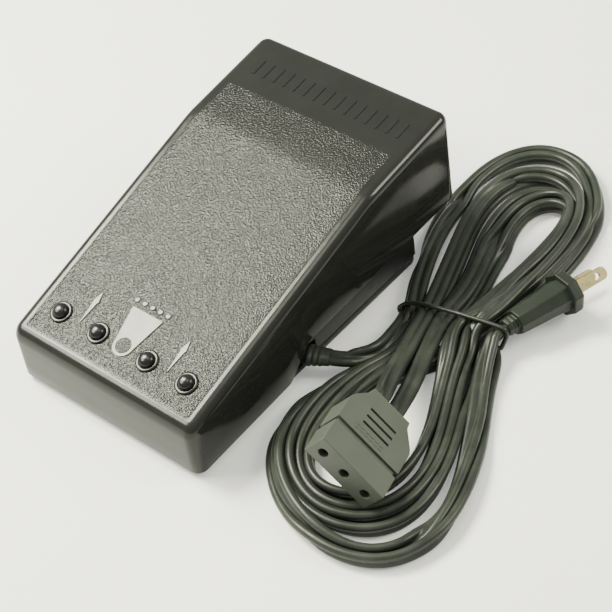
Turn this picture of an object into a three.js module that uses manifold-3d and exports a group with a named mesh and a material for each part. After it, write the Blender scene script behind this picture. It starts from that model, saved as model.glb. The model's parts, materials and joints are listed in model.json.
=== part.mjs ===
// An electronic foot pedal for a sewing machine, with its cord set.
// Millimetres. +Z is up, +Y runs from the heel to the toe, +X is the side that the cord leaves.
// The origin is on the floor, under the middle of the tread cover.

import * as THREE from 'three';
import { mergeVertices } from 'three/addons/utils/BufferGeometryUtils.js';
import Module from 'manifold-3d';

const wasm = await Module();
wasm.setup();

// ---------------------------------------------------------------- driving dimensions

const COVER_LENGTH = 191;
const HEEL_Y = -94.5;
const TOE_Y = HEEL_Y + COVER_LENGTH;
const COVER_WIDTH = 114;
const COVER_WALL = 2.9;
const HEEL_TOP = 31.7; // height of the cover's top edge at the heel
const BEND_Y = 37.9; // where the tread turns into the flatter toe
const BEND_TOP = 69.1;
const TOE_TOP = 76.1;
const COVER_EDGE_FILLET = 3.8;
const COVER_CORNER = 5.5; // radius of the upright corners, seen from above

const SKIRT_HEEL_Z = 2.4; // lower edge of the skirt at the heel
const SKIRT_STEP_START = [-31, 5.8];
const SKIRT_STEP_END = [-16.6, 20.7];
const SKIRT_TOE_Z = 24.3;

const BASE_HALF_WIDTH = 53.2;
const BASE_HEEL_Y = -90.8;
const BASE_TOE_Y = 69.5;
const PLATE_BOTTOM = 2.6;
const PLATE_TOP = 5.5;
const HOUSING_HEEL_Y = -66.5;
const HOUSING_TOP = 39.2;
const HOUSING_WALL = 2.6;

const HINGE_Y = -78.4;
const HINGE_Z = 11.3;
const HINGE_PIN_R = 2.4;
const LUG_X = 47.7; // middle of each hinge lug
const EAR_X = 40.6; // inner face of each hinge ear

const STUD_ALONG = 19.2; // from the heel edge, up the tread
const STUD_X = [-39.2, -15.4, 15.4, 39.2];

const PLUNGER_Y = 23.8;
const PLUNGER_TOP = 54.1;
const SPRING_X = 33.2;
const SPRING_Y = 33.2;
const HOOK_X = 29.7;
const HOOK_Y = 59.4;
const BOARD_TOP = 12.6;

const CORD_WIDTH = 8.6;
const CORD_THICK = 4.3;
const HANK_HEIGHT = 11.5;

const TREAD_ANGLE = Math.atan2(BEND_TOP - HEEL_TOP, BEND_Y - HEEL_Y);

// ---------------------------------------------------------------- materials

function plastic(colour, roughness) {
  return new THREE.MeshStandardMaterial({ color: colour, roughness, metalness: 0 });
}

function metal(colour, roughness) {
  return new THREE.MeshStandardMaterial({ color: colour, roughness, metalness: 1 });
}

const coverPlastic = plastic(0x0e0f0e, 0.28);
const basePlastic = plastic(0x131312, 0.4);
const studRubber = plastic(0x080808, 0.35);
const footRubber = plastic(0x1a1a1a, 0.85);
const cordVinyl = plastic(0x2b2d2b, 0.42);
const connectorPlastic = plastic(0x5d625e, 0.5);
const plugPlastic = plastic(0x39413b, 0.45);
const steel = metal(0xb0b2b4, 0.35);
const brass = metal(0xc9b779, 0.3);
const aluminium = metal(0xc4c6c8, 0.45);
const boardResin = plastic(0x9a7a44, 0.6);
const partBlack = plastic(0x161618, 0.5);
const filmYellow = plastic(0xc2a53a, 0.4);
const ferrite = plastic(0x5a4a3c, 0.6);
const ceramic = plastic(0xb9a988, 0.7);

// ---------------------------------------------------------------- solids

// A closed three.js geometry as a solid that can be joined and cut.
function solid(geometry) {
  const bare = geometry.clone();
  bare.deleteAttribute('normal');
  bare.deleteAttribute('uv');
  const merged = mergeVertices(bare, 1e-4);
  return new wasm.Manifold(new wasm.Mesh({
    numProp: 3,
    vertProperties: new Float32Array(merged.attributes.position.array),
    triVerts: new Uint32Array(merged.index.array),
  }));
}

function geometryOf(body) {
  const { vertProperties, triVerts } = body.getMesh();
  const geometry = new THREE.BufferGeometry();
  geometry.setAttribute('position', new THREE.BufferAttribute(vertProperties, 3));
  geometry.setIndex(new THREE.BufferAttribute(triVerts, 1));
  return geometry;
}

function joined(first, ...rest) {
  return rest.reduce((whole, piece) => whole.add(piece), first);
}

function cut(body, ...tools) {
  return tools.reduce((whole, tool) => whole.subtract(tool), body);
}

function named(name, body, material) {
  const geometry = body.isBufferGeometry ? body : geometryOf(body);
  const mesh = new THREE.Mesh(geometry, material);
  mesh.name = name;
  return mesh;
}

// A box between two corners.
function boxGeometry(low, high) {
  const size = high.map((value, axis) => value - low[axis]);
  const middle = high.map((value, axis) => (value + low[axis]) / 2);
  return new THREE.BoxGeometry(...size).translate(...middle);
}

function box(low, high) {
  return solid(boxGeometry(low, high));
}

// An outline through corner points [u, v, radius], each corner rounded by its radius.
function roundedOutline(corners) {
  const shape = new THREE.Shape();
  const count = corners.length;
  corners.forEach(([u, v, radius = 0], index) => {
    const corner = new THREE.Vector2(u, v);
    const [pu, pv] = corners[(index + count - 1) % count];
    const [nu, nv] = corners[(index + 1) % count];
    const before = new THREE.Vector2(pu, pv).sub(corner).normalize();
    const after = new THREE.Vector2(nu, nv).sub(corner).normalize();
    if (radius > 0) {
      const half = Math.acos(THREE.MathUtils.clamp(before.dot(after), -1, 1)) / 2;
      const reach = radius / Math.tan(half);
      const start = corner.clone().addScaledVector(before, reach);
      const end = corner.clone().addScaledVector(after, reach);
      const toCentre = before.clone().add(after).normalize().multiplyScalar(radius / Math.sin(half));
      const centre = corner.clone().add(toCentre);
      const clockwise = before.cross(after) > 0;
      if (index === 0) shape.moveTo(start.x, start.y);
      else shape.lineTo(start.x, start.y);
      shape.absarc(centre.x, centre.y, radius,
        Math.atan2(start.y - centre.y, start.x - centre.x),
        Math.atan2(end.y - centre.y, end.x - centre.x), clockwise);
    } else if (index === 0) {
      shape.moveTo(u, v);
    } else {
      shape.lineTo(u, v);
    }
  });
  return shape;
}

function roundedRectangle(lowX, lowY, highX, highY, radius) {
  return roundedOutline([
    [lowX, lowY, radius], [highX, lowY, radius], [highX, highY, radius], [lowX, highY, radius],
  ]);
}

// An outline in X and Y, raised from lowZ to highZ.
function upright(shape, lowZ, highZ, curveSegments = 4) {
  const geometry = new THREE.ExtrudeGeometry(shape, {
    depth: highZ - lowZ, bevelEnabled: false, curveSegments,
  });
  return solid(geometry.translate(0, 0, lowZ));
}

// An outline in Y and Z, run across from -halfWidth to +halfWidth, with its edges rounded.
function across(shape, halfWidth, edge = 0, curveSegments = 4) {
  const geometry = new THREE.ExtrudeGeometry(shape, {
    depth: 2 * (halfWidth - edge),
    bevelEnabled: edge > 0,
    bevelSize: edge,
    bevelThickness: edge,
    bevelOffset: -edge,
    bevelSegments: 3,
    curveSegments,
  });
  geometry.translate(0, 0, edge - halfWidth);
  const turn = new THREE.Matrix4().makeBasis(
    new THREE.Vector3(0, 1, 0), new THREE.Vector3(0, 0, 1), new THREE.Vector3(1, 0, 0));
  return solid(geometry.applyMatrix4(turn));
}

// A turned solid on the Z axis, from profile points [radius, z] that start and end on the axis.
function turned(points, segments = 16) {
  const profile = points.map(([radius, z]) => new THREE.Vector2(radius, z));
  return new THREE.LatheGeometry(profile, segments).rotateX(Math.PI / 2);
}

function cylinder(x, y, lowZ, highZ, radius, segments = 16) {
  const geometry = new THREE.CylinderGeometry(radius, radius, highZ - lowZ, segments);
  return solid(geometry.rotateX(Math.PI / 2).translate(x, y, (lowZ + highZ) / 2));
}

// A cylinder along X.
function crossBar(lowX, highX, y, z, radius, segments = 16) {
  const geometry = new THREE.CylinderGeometry(radius, radius, highX - lowX, segments);
  return solid(geometry.rotateZ(Math.PI / 2).translate((lowX + highX) / 2, y, z));
}

// A round or flattened tube along a smooth curve through points.
function tubeAlong(points, halfWidth, halfThick, steps, sides) {
  const curve = new THREE.CatmullRomCurve3(points.map((point) => new THREE.Vector3(...point)));
  const section = new THREE.Shape();
  for (let side = 0; side < sides; side += 1) {
    const turn = (2 * Math.PI * (side + 0.5)) / sides;
    const u = halfThick * Math.cos(turn);
    const v = halfWidth * Math.sin(turn);
    if (side === 0) section.moveTo(u, v);
    else section.lineTo(u, v);
  }
  section.closePath();
  return new THREE.ExtrudeGeometry(section, { steps, extrudePath: curve, bevelEnabled: false });
}

// A compression spring standing on lowZ, with its end turns closed.
function coilSpring(x, y, lowZ, highZ, meanRadius, wire, turns) {
  const stepsPerTurn = 9;
  const points = [];
  const count = turns * stepsPerTurn;
  const endTurns = 0.9;
  for (let index = 0; index <= count; index += 1) {
    const turn = index / stepsPerTurn;
    const open = THREE.MathUtils.clamp((turn - endTurns) / (turns - 2 * endTurns), 0, 1);
    const closedRise = wire * 1.12 * (Math.min(turn, endTurns) + Math.max(0, turn - turns + endTurns));
    const openRise = (highZ - lowZ - wire - 2 * wire * 1.12 * endTurns) * open;
    const angle = 2 * Math.PI * turn;
    points.push([
      x + meanRadius * Math.cos(angle),
      y + meanRadius * Math.sin(angle),
      lowZ + wire / 2 + closedRise + openRise,
    ]);
  }
  return tubeAlong(points, wire / 2, wire / 2, count, 5);
}

// ---------------------------------------------------------------- tread cover

function roofHeight(y) {
  if (y < BEND_Y) return HEEL_TOP + (y - HEEL_Y) * Math.tan(TREAD_ANGLE);
  return BEND_TOP + ((TOE_TOP - BEND_TOP) * (y - BEND_Y)) / (TOE_Y - BEND_Y);
}

// The closed outer form of the cover, drawn in by an inset for its inside.
function coverForm(inset) {
  const below = -14.2;
  const profile = roundedOutline([
    [HEEL_Y + inset, below],
    [TOE_Y - inset, below],
    [TOE_Y - inset, TOE_TOP - 1.05 * inset, 4.8],
    [BEND_Y, BEND_TOP - 1.05 * inset, 35.6],
    [HEEL_Y + inset, HEEL_TOP - 0.85 * inset, 5.9],
  ]);
  const edge = Math.max(COVER_EDGE_FILLET - inset / 2, 1.2);
  const body = across(profile, COVER_WIDTH / 2 - inset, edge);
  const plan = roundedRectangle(
    inset - COVER_WIDTH / 2, HEEL_Y + inset, COVER_WIDTH / 2 - inset, TOE_Y - inset,
    COVER_CORNER - inset);
  return body.intersect(upright(plan, below + 5.9, TOE_TOP + 11.9));
}

function underSkirt() {
  const past = 14.2;
  const outline = roundedOutline([
    [HEEL_Y - past, -23.8],
    [TOE_Y + past, -23.8],
    [TOE_Y + past, SKIRT_TOE_Z + 0.36],
    [...SKIRT_STEP_END, 3],
    [...SKIRT_STEP_START, 2.4],
    [HEEL_Y - past, SKIRT_HEEL_Z - 0.59],
  ]);
  return across(outline, COVER_WIDTH);
}

// A matrix that stands things on the tread: x across, y up the slope from the heel edge, z out.
function treadMatrix(x, along) {
  return new THREE.Matrix4()
    .makeTranslation(x, HEEL_Y + along * Math.cos(TREAD_ANGLE), HEEL_TOP + along * Math.sin(TREAD_ANGLE))
    .multiply(new THREE.Matrix4().makeRotationX(TREAD_ANGLE));
}

function onTread(geometry, x, along) {
  return solid(geometry.applyMatrix4(treadMatrix(x, along)));
}

const RELIEF = 0.53; // how far the moulded marks stand out of the tread
const SUNK = 0.95; // how far they reach into it

function raisedPlate(shape) {
  return new THREE.ExtrudeGeometry(shape, {
    depth: RELIEF + SUNK, bevelEnabled: false, curveSegments: 8,
  }).translate(0, 0, -SUNK);
}

function footprintMark() {
  const sole = raisedPlate(roundedOutline([
    [-4.3, 24.5, 0.48], [4.3, 24.5, 0.48], [9.3, 38.4, 0.59], [-9.3, 38.4, 0.59],
  ]));
  const heel = new THREE.CylinderGeometry(3.8, 3.8, RELIEF + SUNK, 24)
    .rotateX(Math.PI / 2).translate(0, 19.7, (RELIEF - SUNK) / 2);
  const toes = [-9.6, -4.8, 0, 4.8, 9.6].map((x) => onTread(
    new THREE.CylinderGeometry(1.4, 1.4, RELIEF + SUNK, 12)
      .rotateX(Math.PI / 2).translate(0, 0, (RELIEF - SUNK) / 2), x, 41.8));
  return joined(onTread(sole, 0, 0), onTread(heel, 0, 0), ...toes);
}

function arrowMark(x) {
  const arrow = new THREE.Shape();
  arrow.moveTo(-0.36, 19.6);
  arrow.lineTo(0.36, 19.6);
  arrow.lineTo(0.95, 31.8);
  arrow.lineTo(3.2, 31.8);
  arrow.lineTo(0, 36.6);
  arrow.lineTo(-3.2, 31.8);
  arrow.lineTo(-0.95, 31.8);
  arrow.closePath();
  return onTread(raisedPlate(arrow), x, 0);
}

function hingeLug(side) {
  const halfThick = 2.4;
  const halfWidth = 5.3;
  const top = roofHeight(HINGE_Y);
  const centre = side * LUG_X;
  const plate = box(
    [centre - halfThick, HINGE_Y - halfWidth, HINGE_Z], [centre + halfThick, HINGE_Y + halfWidth, top]);
  const eye = crossBar(centre - halfThick, centre + halfThick, HINGE_Y, HINGE_Z, halfWidth, 20);
  const bore = crossBar(centre - 3.6, centre + 3.6, HINGE_Y, HINGE_Z, HINGE_PIN_R + 0.24, 20);
  return cut(joined(plate, eye), bore);
}

// A leg that hangs from the roof, with a barb that catches under the housing's top.
function retainingHook(side) {
  const roof = roofHeight(HOOK_Y);
  const legLow = 31.5;
  const catchZ = HOUSING_TOP - HOUSING_WALL - 0.48;
  const leg = box([HOOK_X - 1.2, HOOK_Y - 3.6, legLow], [HOOK_X + 1.2, HOOK_Y + 3.6, roof]);
  const barb = box([HOOK_X - 3.8, HOOK_Y - 3.6, legLow], [HOOK_X - 0.6, HOOK_Y + 3.6, catchZ]);
  const hook = joined(leg, barb);
  return side > 0 ? hook : hook.mirror([1, 0, 0]);
}

function treadCover() {
  const shell = cut(coverForm(0), coverForm(COVER_WALL));
  const drop = (y) => roofHeight(y) - 0.5;
  const pressBoss = cylinder(0, PLUNGER_Y, PLUNGER_TOP + 0.48, drop(PLUNGER_Y), 5.9);
  const springCups = [-1, 1].map((side) => joined(
    cylinder(side * SPRING_X, SPRING_Y, 59.9, drop(SPRING_Y), 7.7),
    cylinder(side * SPRING_X, SPRING_Y, 56.3, 60.6, 3.1)));
  const ribs = [-1, 1].map((side) => across(roundedOutline([
    [-59.4, drop(-59.4)], [-59.4, drop(-59.4) - 4.8], [BEND_Y, drop(BEND_Y) - 4.8],
    [83.1, drop(83.1) - 4.8], [83.1, drop(83.1)], [BEND_Y, drop(BEND_Y)],
  ]), 0.95).translate([side * 45, 0, 0]));
  const studHoles = STUD_X.map((x) => onTread(
    new THREE.CylinderGeometry(2.7, 2.7, 14.2, 16).rotateX(Math.PI / 2), x, STUD_ALONG));
  const inside = joined(
    hingeLug(-1), hingeLug(1), retainingHook(-1), retainingHook(1),
    pressBoss, ...springCups, ...ribs).intersect(coverForm(COVER_WALL / 2));
  const marks = joined(footprintMark(), arrowMark(STUD_X[0] + 11.9), arrowMark(STUD_X[3] - 11.9));
  return named(
    'tread_cover', cut(joined(shell, inside, marks), underSkirt(), ...studHoles), coverPlastic);
}

// A rubber stud: a domed button with a collar, whose stem is pulled through the cover.
function gripStud(number, x) {
  const profile = [
    [0, 4], [2, 3.7], [3.3, 2.6], [3.9, 0.95], [5.2, 0.83], [5.6, 0.12], [2.4, 0.12],
    [2.4, -3.4], [3.4, -3.7], [2.6, -5.5], [0, -5.5],
  ];
  const geometry = turned(profile.reverse(), 20).applyMatrix4(treadMatrix(x, STUD_ALONG));
  return named(`grip_stud_${number}`, solid(geometry), studRubber);
}

// ---------------------------------------------------------------- base

const BOARD_POSTS = [[-30.9, -40.4], [30.9, -40.4], [-30.9, 45.1], [30.9, 45.1]];
const PLATE_SCREWS = [[-46.9, -60], [46.9, -60], [-46.9, 62.3], [46.9, 62.3]];
const FEET = [[-40.4, -78.4], [40.4, -78.4], [-35.6, 57], [35.6, 57]];

function hingeEar(side) {
  const thick = 4;
  const low = side > 0 ? EAR_X : -EAR_X - thick;
  const plate = box(
    [low, HINGE_Y - 4.8, PLATE_TOP - 0.59], [low + thick, HINGE_Y + 4.8, HINGE_Z]);
  const eye = crossBar(low, low + thick, HINGE_Y, HINGE_Z, 4.8, 16);
  const bore = crossBar(low - 1.2, low + thick + 1.2, HINGE_Y, HINGE_Z, HINGE_PIN_R + 0.24, 20);
  return cut(joined(plate, eye), bore);
}

function bottomPlate() {
  const outline = roundedRectangle(
    -BASE_HALF_WIDTH, BASE_HEEL_Y, BASE_HALF_WIDTH, BASE_TOE_Y, 7.1);
  const sheet = upright(outline, PLATE_BOTTOM, PLATE_TOP);
  const ears = [-1, 1].map(hingeEar);
  const posts = BOARD_POSTS.map(([x, y]) => cylinder(x, y, PLATE_TOP - 0.59, 10.6, 3.8, 12));
  const guide = cylinder(0, PLUNGER_Y, PLATE_TOP - 0.59, 14.2, 5.9);
  const guideBore = cylinder(0, PLUNGER_Y, PLATE_TOP, 15.4, 2.7);
  const postBores = BOARD_POSTS.map(([x, y]) => cylinder(x, y, PLATE_TOP, 11.9, 1.7, 8));
  const screwHoles = PLATE_SCREWS.flatMap(([x, y]) => [
    cylinder(x, y, 1.2, 7.1, 2.1, 12), cylinder(x, y, 1.2, 4.4, 4, 16)]);
  const footSeats = FEET.map(([x, y]) => cylinder(x, y, 1.2, PLATE_BOTTOM + 0.71, 7.5, 20));
  const body = joined(sheet, ...ears, ...posts, guide);
  return named(
    'bottom_plate', cut(body, guideBore, ...postBores, ...screwHoles, ...footSeats), basePlastic);
}

function housingForm(inset) {
  const top = HOUSING_TOP - inset;
  const profile = roundedOutline([
    [HOUSING_HEEL_Y + inset, 5.7 - inset],
    [BASE_TOE_Y - inset, 5.7 - inset],
    [BASE_TOE_Y - inset, top, 2.4],
    [-11.9, top, 9.5],
    [HOUSING_HEEL_Y + inset, 24.9 - inset, 3.6],
  ]);
  const plan = roundedRectangle(
    inset - BASE_HALF_WIDTH, HOUSING_HEEL_Y + inset, BASE_HALF_WIDTH - inset, BASE_TOE_Y - inset,
    4.8 - inset / 2);
  return across(profile, BASE_HALF_WIDTH - inset, 1.4).intersect(upright(plan, -5.9, 71.2));
}

// The tunnel in the side wall that holds the cord bushing, straight through along X.
const BUSHING_AT = [53.2, -15.9, 9.7];

function baseHousing() {
  const hollow = housingForm(HOUSING_WALL);
  const inside = joined(hollow, hollow.translate([0, 0, -4.8]));
  const shell = cut(housingForm(0), inside);
  const bosses = PLATE_SCREWS.map(([x, y]) => {
    const ceiling = y < 0 ? 23.8 : HOUSING_TOP - 1.2;
    return cylinder(x, y, 5.7, ceiling, 4.3, 14);
  });
  const collar = cylinder(0, PLUNGER_Y, HOUSING_TOP - 1.2, 42.8, 8.1);
  const spigots = [-1, 1].map((side) => cylinder(
    side * SPRING_X, SPRING_Y, HOUSING_TOP - 1.2, 43.9, 3.1));
  const screwBores = PLATE_SCREWS.map(([x, y]) => cylinder(x, y, 3.6, 19, 2, 10));
  const plungerBore = cylinder(0, PLUNGER_Y, 29.7, 47.5, 5.2, 20);
  const windows = [-1, 1].map((side) => box(
    [side > 0 ? 27.8 : -32.3, HOOK_Y - 4.8, 33.2], [side > 0 ? 32.3 : -27.8, HOOK_Y + 6.4, 42.8]));
  const cordSlot = box([47.5, BUSHING_AT[1] - 7.8, 0], [59.4, BUSHING_AT[1] + 7.4, 14]);
  const body = joined(shell, ...bosses, collar, ...spigots);
  return named(
    'base_housing', cut(body, ...screwBores, plungerBore, ...windows, cordSlot), basePlastic);
}

function rubberFoot(number, [x, y]) {
  const profile = [[0, 3.2], [7.1, 3.2], [7.1, 0.71], [6.4, 0], [0, 0]];
  return named(
    `rubber_foot_${number}`, solid(turned(profile.reverse(), 20)).translate([x, y, 0]), footRubber);
}

// A screw standing on its head, driven upwards, with a cross recess.
function plateScrew(number, [x, y]) {
  const profile = [
    [0, 15.4], [1.2, 15.4], [1.7, 14.2], [1.7, 4.3], [3.6, 4.3], [3.6, 3.3], [3, 2.9], [0, 2.9],
  ];
  const recess = joined(
    box([-1.9, -0.36, 2.4], [1.9, 0.36, 3.8]), box([-0.36, -1.9, 2.4], [0.36, 1.9, 3.8]));
  const screw = cut(solid(turned(profile.reverse(), 12)), recess);
  return named(`plate_screw_${number}`, screw.translate([x, y, 0]), steel);
}

function hingePin(name, side) {
  const profile = [[0, 0], [3.8, 0], [3.8, 1.4], [HINGE_PIN_R, 1.4], [HINGE_PIN_R, 11.9], [0, 11.9]];
  const pin = turned(profile, 16).rotateY(side * Math.PI / 2)
    .translate(side * (EAR_X - 1.8), HINGE_Y, HINGE_Z);
  return named(name, solid(pin), steel);
}

// ---------------------------------------------------------------- plunger and springs

function plunger() {
  const profile = [
    [0, 11.5], [2.4, 11.5], [2.4, 28.5], [6.9, 28.5], [6.9, 30.9], [4.8, 30.9], [4.8, 52.2],
    [6.5, 52.5], [6.5, 53.6], [5.9, PLUNGER_TOP], [0, PLUNGER_TOP],
  ];
  return named('plunger', solid(turned(profile, 20)).translate([0, PLUNGER_Y, 0]), partBlack);
}

function wiperArm() {
  const arm = joined(
    box([-2.4, PLUNGER_Y + 5.1, 32.1], [2.4, PLUNGER_Y + 11.4, 33.2]),
    box([-0.83, PLUNGER_Y + 10.7, 32.1], [0.83, PLUNGER_Y + 14.5, 33.2]));
  return named('wiper_arm', arm, brass);
}

function slidePotentiometer() {
  const front = PLUNGER_Y + 12.1;
  const body = box([-6.5, front, BOARD_TOP + 0.24], [6.5, front + 7.7, 35.9]);
  const slot = box([-1.5, front - 1.2, 24.3], [1.5, front + 4, 34.9]);
  return named('slide_potentiometer', cut(body, slot), partBlack);
}

// ---------------------------------------------------------------- circuit

function circuitBoard() {
  const sheet = upright(roundedRectangle(-36.8, -47.5, 36.8, 52.2, 2.4), BOARD_TOP - 1.9, BOARD_TOP);
  const holes = BOARD_POSTS.map(([x, y]) => cylinder(x, y, 5.9, 17.8, 1.9, 8));
  return named(
    'circuit_board', cut(sheet, cylinder(0, PLUNGER_Y, 5.9, 17.8, 7.6, 16), ...holes), boardResin);
}

function boardScrew(number, [x, y]) {
  const profile = [
    [0, 6.2], [1.3, 6.2], [1.3, BOARD_TOP + 0.24], [3.1, BOARD_TOP + 0.24], [2.9, 14.5], [0, 14.8]];
  const slot = box([-3.6, -0.36, 14], [3.6, 0.36, 15.4]);
  const screw = cut(solid(turned(profile, 10)), slot);
  return named(`board_screw_${number}`, screw.translate([x, y, 0]), steel);
}

function triac() {
  const body = box([-27.3, 0, 15.4], [-15.4, 5, 26.1]);
  const tab = box([-27.3, 3.4, 25.5], [-15.4, 5, 32.1]);
  const hole = solid(new THREE.CylinderGeometry(2.1, 2.1, 4.8, 16).translate(-21.4, 4.2, 29));
  const legs = [-24.3, -21.4, -18.4].map((x) => box(
    [x - 0.48, 1.7, BOARD_TOP + 0.12], [x + 0.48, 2.4, 16]));
  return named('triac', cut(joined(body, tab, ...legs), hole), partBlack);
}

function heatSink() {
  const fins = [-32.1, -26.7, -21.4, -16, -10.7].map((x) => box(
    [x - 0.7, 7.1, 13.1], [x + 0.7, 14.2, 33.2]));
  const web = box([-33.2, 5.5, 13.1], [-9.5, 7.5, 33.2]);
  return named('heat_sink', joined(web, ...fins), aluminium);
}

function filmCapacitor() {
  const body = upright(roundedRectangle(7.1, -19, 29.7, -8.9, 1.2), BOARD_TOP + 0.24, 27.9);
  return named('film_capacitor', body, filmYellow);
}

function chokeCoil() {
  const ring = new THREE.LatheGeometry(
    Array.from({ length: 9 }, (_, index) => new THREE.Vector2(
      8.9 + 4 * Math.cos((index * Math.PI) / 4), 4 * Math.sin((index * Math.PI) / 4))), 18);
  return named('choke_coil', solid(ring.rotateX(Math.PI / 2)).translate([-19, -21.4, 17]), ferrite);
}

function resistor(number, y) {
  const profile = [
    [0, -4.8], [2.3, -4.5], [2.4, -3.1], [1.9, -2.6], [1.9, 2.6], [2.4, 3.1], [2.3, 4.5], [0, 4.8],
  ];
  const body = turned(profile, 10).rotateY(Math.PI / 2).translate(17.8, y, BOARD_TOP + 2.7);
  return named(`resistor_${number}`, solid(body), ceramic);
}

function terminalBlock() {
  const body = box([20.2, -36.8, BOARD_TOP + 0.24], [32.1, -24.9, 22.6]);
  const wells = [-33.8, -27.9].map((y) => cylinder(26.1, y, 19, 23.8, 1.9, 10));
  const mouths = [-33.8, -27.9].map((y) => crossBar(28.5, 33.2, y, 16.6, 1.8, 10));
  return named('terminal_block', cut(body, ...wells, ...mouths), partBlack);
}

// ---------------------------------------------------------------- cord bushing and inner wires

const BUSHING_TURN = THREE.MathUtils.degToRad(25);
const BUSHING_REACH = 10.6; // how far the taper stands out of the wall, along its own axis

// A moulded strain relief: an inner flange, a neck in the wall and a ribbed outer taper.
function cordBushing() {
  const profile = [
    [0, -9.7], [4.9, -9.7], [5.2, -9], [5.2, 1.1], [5.9, 1.1], [5.9, 3.1], [5.2, 3.8],
    [5.7, 4.8], [5.1, 6.2], [5.5, 7.4], [5, 8.8], [4.9, BUSHING_REACH],
    [0, BUSHING_REACH],
  ];
  const body = turned(profile, 16).rotateY(Math.PI / 2).scale(1, 1, 0.62)
    .rotateZ(BUSHING_TURN).translate(...BUSHING_AT);
  return named('cord_bushing', solid(body), cordVinyl);
}

function innerWire(name, fromX, fromY, toY) {
  const wire = tubeAlong([
    [fromX, fromY, 10], [41.1, (2 * fromY + toY) / 3, 11.4], [38.7, (fromY + 2 * toY) / 3, 15],
    [35.4, toY, 16.6], [29.2, toY, 16.6],
  ], 1.2, 1.2, 10, 6);
  return named(name, wire, partBlack);
}

// ---------------------------------------------------------------- cords outside

// The end of the bushing's taper, where the pedal's lead begins.
const LEAD_START = new THREE.Vector3(BUSHING_REACH + 0.95, 0, 0)
  .applyAxisAngle(new THREE.Vector3(0, 0, 1), BUSHING_TURN)
  .add(new THREE.Vector3(...BUSHING_AT));

const PEDAL_LEAD = [
  [LEAD_START.x, LEAD_START.y, LEAD_START.z],
  [66.5, -9.9, 9.8],
  [71.6, -7.2, 10],
  [76.2, -2.6, 10.3],
  [79, 4.2, 10.3],
  [79.6, 13.1, 9.6],
  [78.3, 22, 8],
  [75.5, 29.2, 6],
];

function pedalLead() {
  return named(
    'pedal_lead', tubeAlong(PEDAL_LEAD, CORD_WIDTH / 2, CORD_THICK / 2, 12, 10), cordVinyl);
}

// The hank of both cords: two fans of loops with a waist where they are tied, and a shoulder
// beside the waist where the pedal's lead runs in.
function hankOutline() {
  const shape = new THREE.Shape();
  shape.moveTo(70.1, 30.9);
  shape.splineThru([
    [68.3, 38], [59.4, 61.8], [43.9, 90.2], [36.8, 118.8], [40.4, 147.2], [55.8, 162.7],
    [73.6, 166.8], [92.6, 162.1], [108.1, 147.2], [117.6, 125.9], [122.3, 95], [124.1, 66.5],
    [125.9, 42.8], [134.2, 23.8], [147.2, 2.4], [157.9, -23.8], [163.9, -54.6], [159.1, -78.4],
    [144.9, -90.8], [123.5, -93.2], [99.8, -90.2], [80.8, -78.4], [66.5, -68.9], [62.3, -52.2],
    [65.3, -33.2], [74.8, -19], [84.9, -4.8], [84.9, 14.2], [83.1, 30.9],
  ].map((point) => new THREE.Vector2(...point)));
  shape.closePath();
  return shape;
}

// The room that the connector and the plug take out of the hank, with a little air round them.
function hankClearances() {
  const connectorRoom = solid(placeConnector(
    boxGeometry([-19.2, -1.2, -14.6], [19.2, 45.7, 16.6])));
  const tailRoom = solid(placeConnector(boxGeometry([-12.5, 41.6, -13.7], [12.5, 61.8, 16.6])));
  const plugRoom = solid(placePlug(boxGeometry([-15.5, -38.6, -13], [15.5, 44, 14])));
  return [connectorRoom, tailRoom, plugRoom];
}

function cordHank() {
  const edge = 2.4;
  const geometry = new THREE.ExtrudeGeometry(hankOutline(), {
    depth: HANK_HEIGHT - 2 * edge, bevelEnabled: true, bevelSize: edge, bevelThickness: edge,
    bevelOffset: -edge, bevelSegments: 2, curveSegments: 3,
  }).translate(0, 0, edge);
  return named('cord_hank', cut(solid(geometry), ...hankClearances()), cordVinyl);
}

// The strap that holds the hank's waist: a thin wire over the top of the bundle.
function cordTie() {
  const over = [
    [66.6, 36.2, 1.5], [66.7, 36.1, 8.3], [69.8, 36, 13.1], [80.8, 36.3, 13.7], [97.4, 38.5, 13.7],
    [114, 41.6, 13.4], [124.9, 43.5, 12.9], [128.7, 43.9, 8.3], [129, 43.9, 1.5],
  ];
  return named('cord_tie', tubeAlong(over, 1.2, 0.95, 30, 8), cordVinyl);
}

// ---------------------------------------------------------------- connector

const CONNECTOR_WIDTH = 36.8;
const CONNECTOR_THICK = 13.5;
const HOLE_PITCH = 12.6;
const CONNECTOR_AT = [126.4, -68.4, 31.6];
const CONNECTOR_TURN = [-10.7, 43.6, 8].map(THREE.MathUtils.degToRad);

// Places the connector's own frame: x across, y towards the cords, z out of its upper face.
function placeConnector(geometry) {
  const turn = new THREE.Matrix4().makeRotationFromEuler(new THREE.Euler(...CONNECTOR_TURN, 'ZYX'));
  return geometry.applyMatrix4(turn).translate(...CONNECTOR_AT);
}

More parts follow.
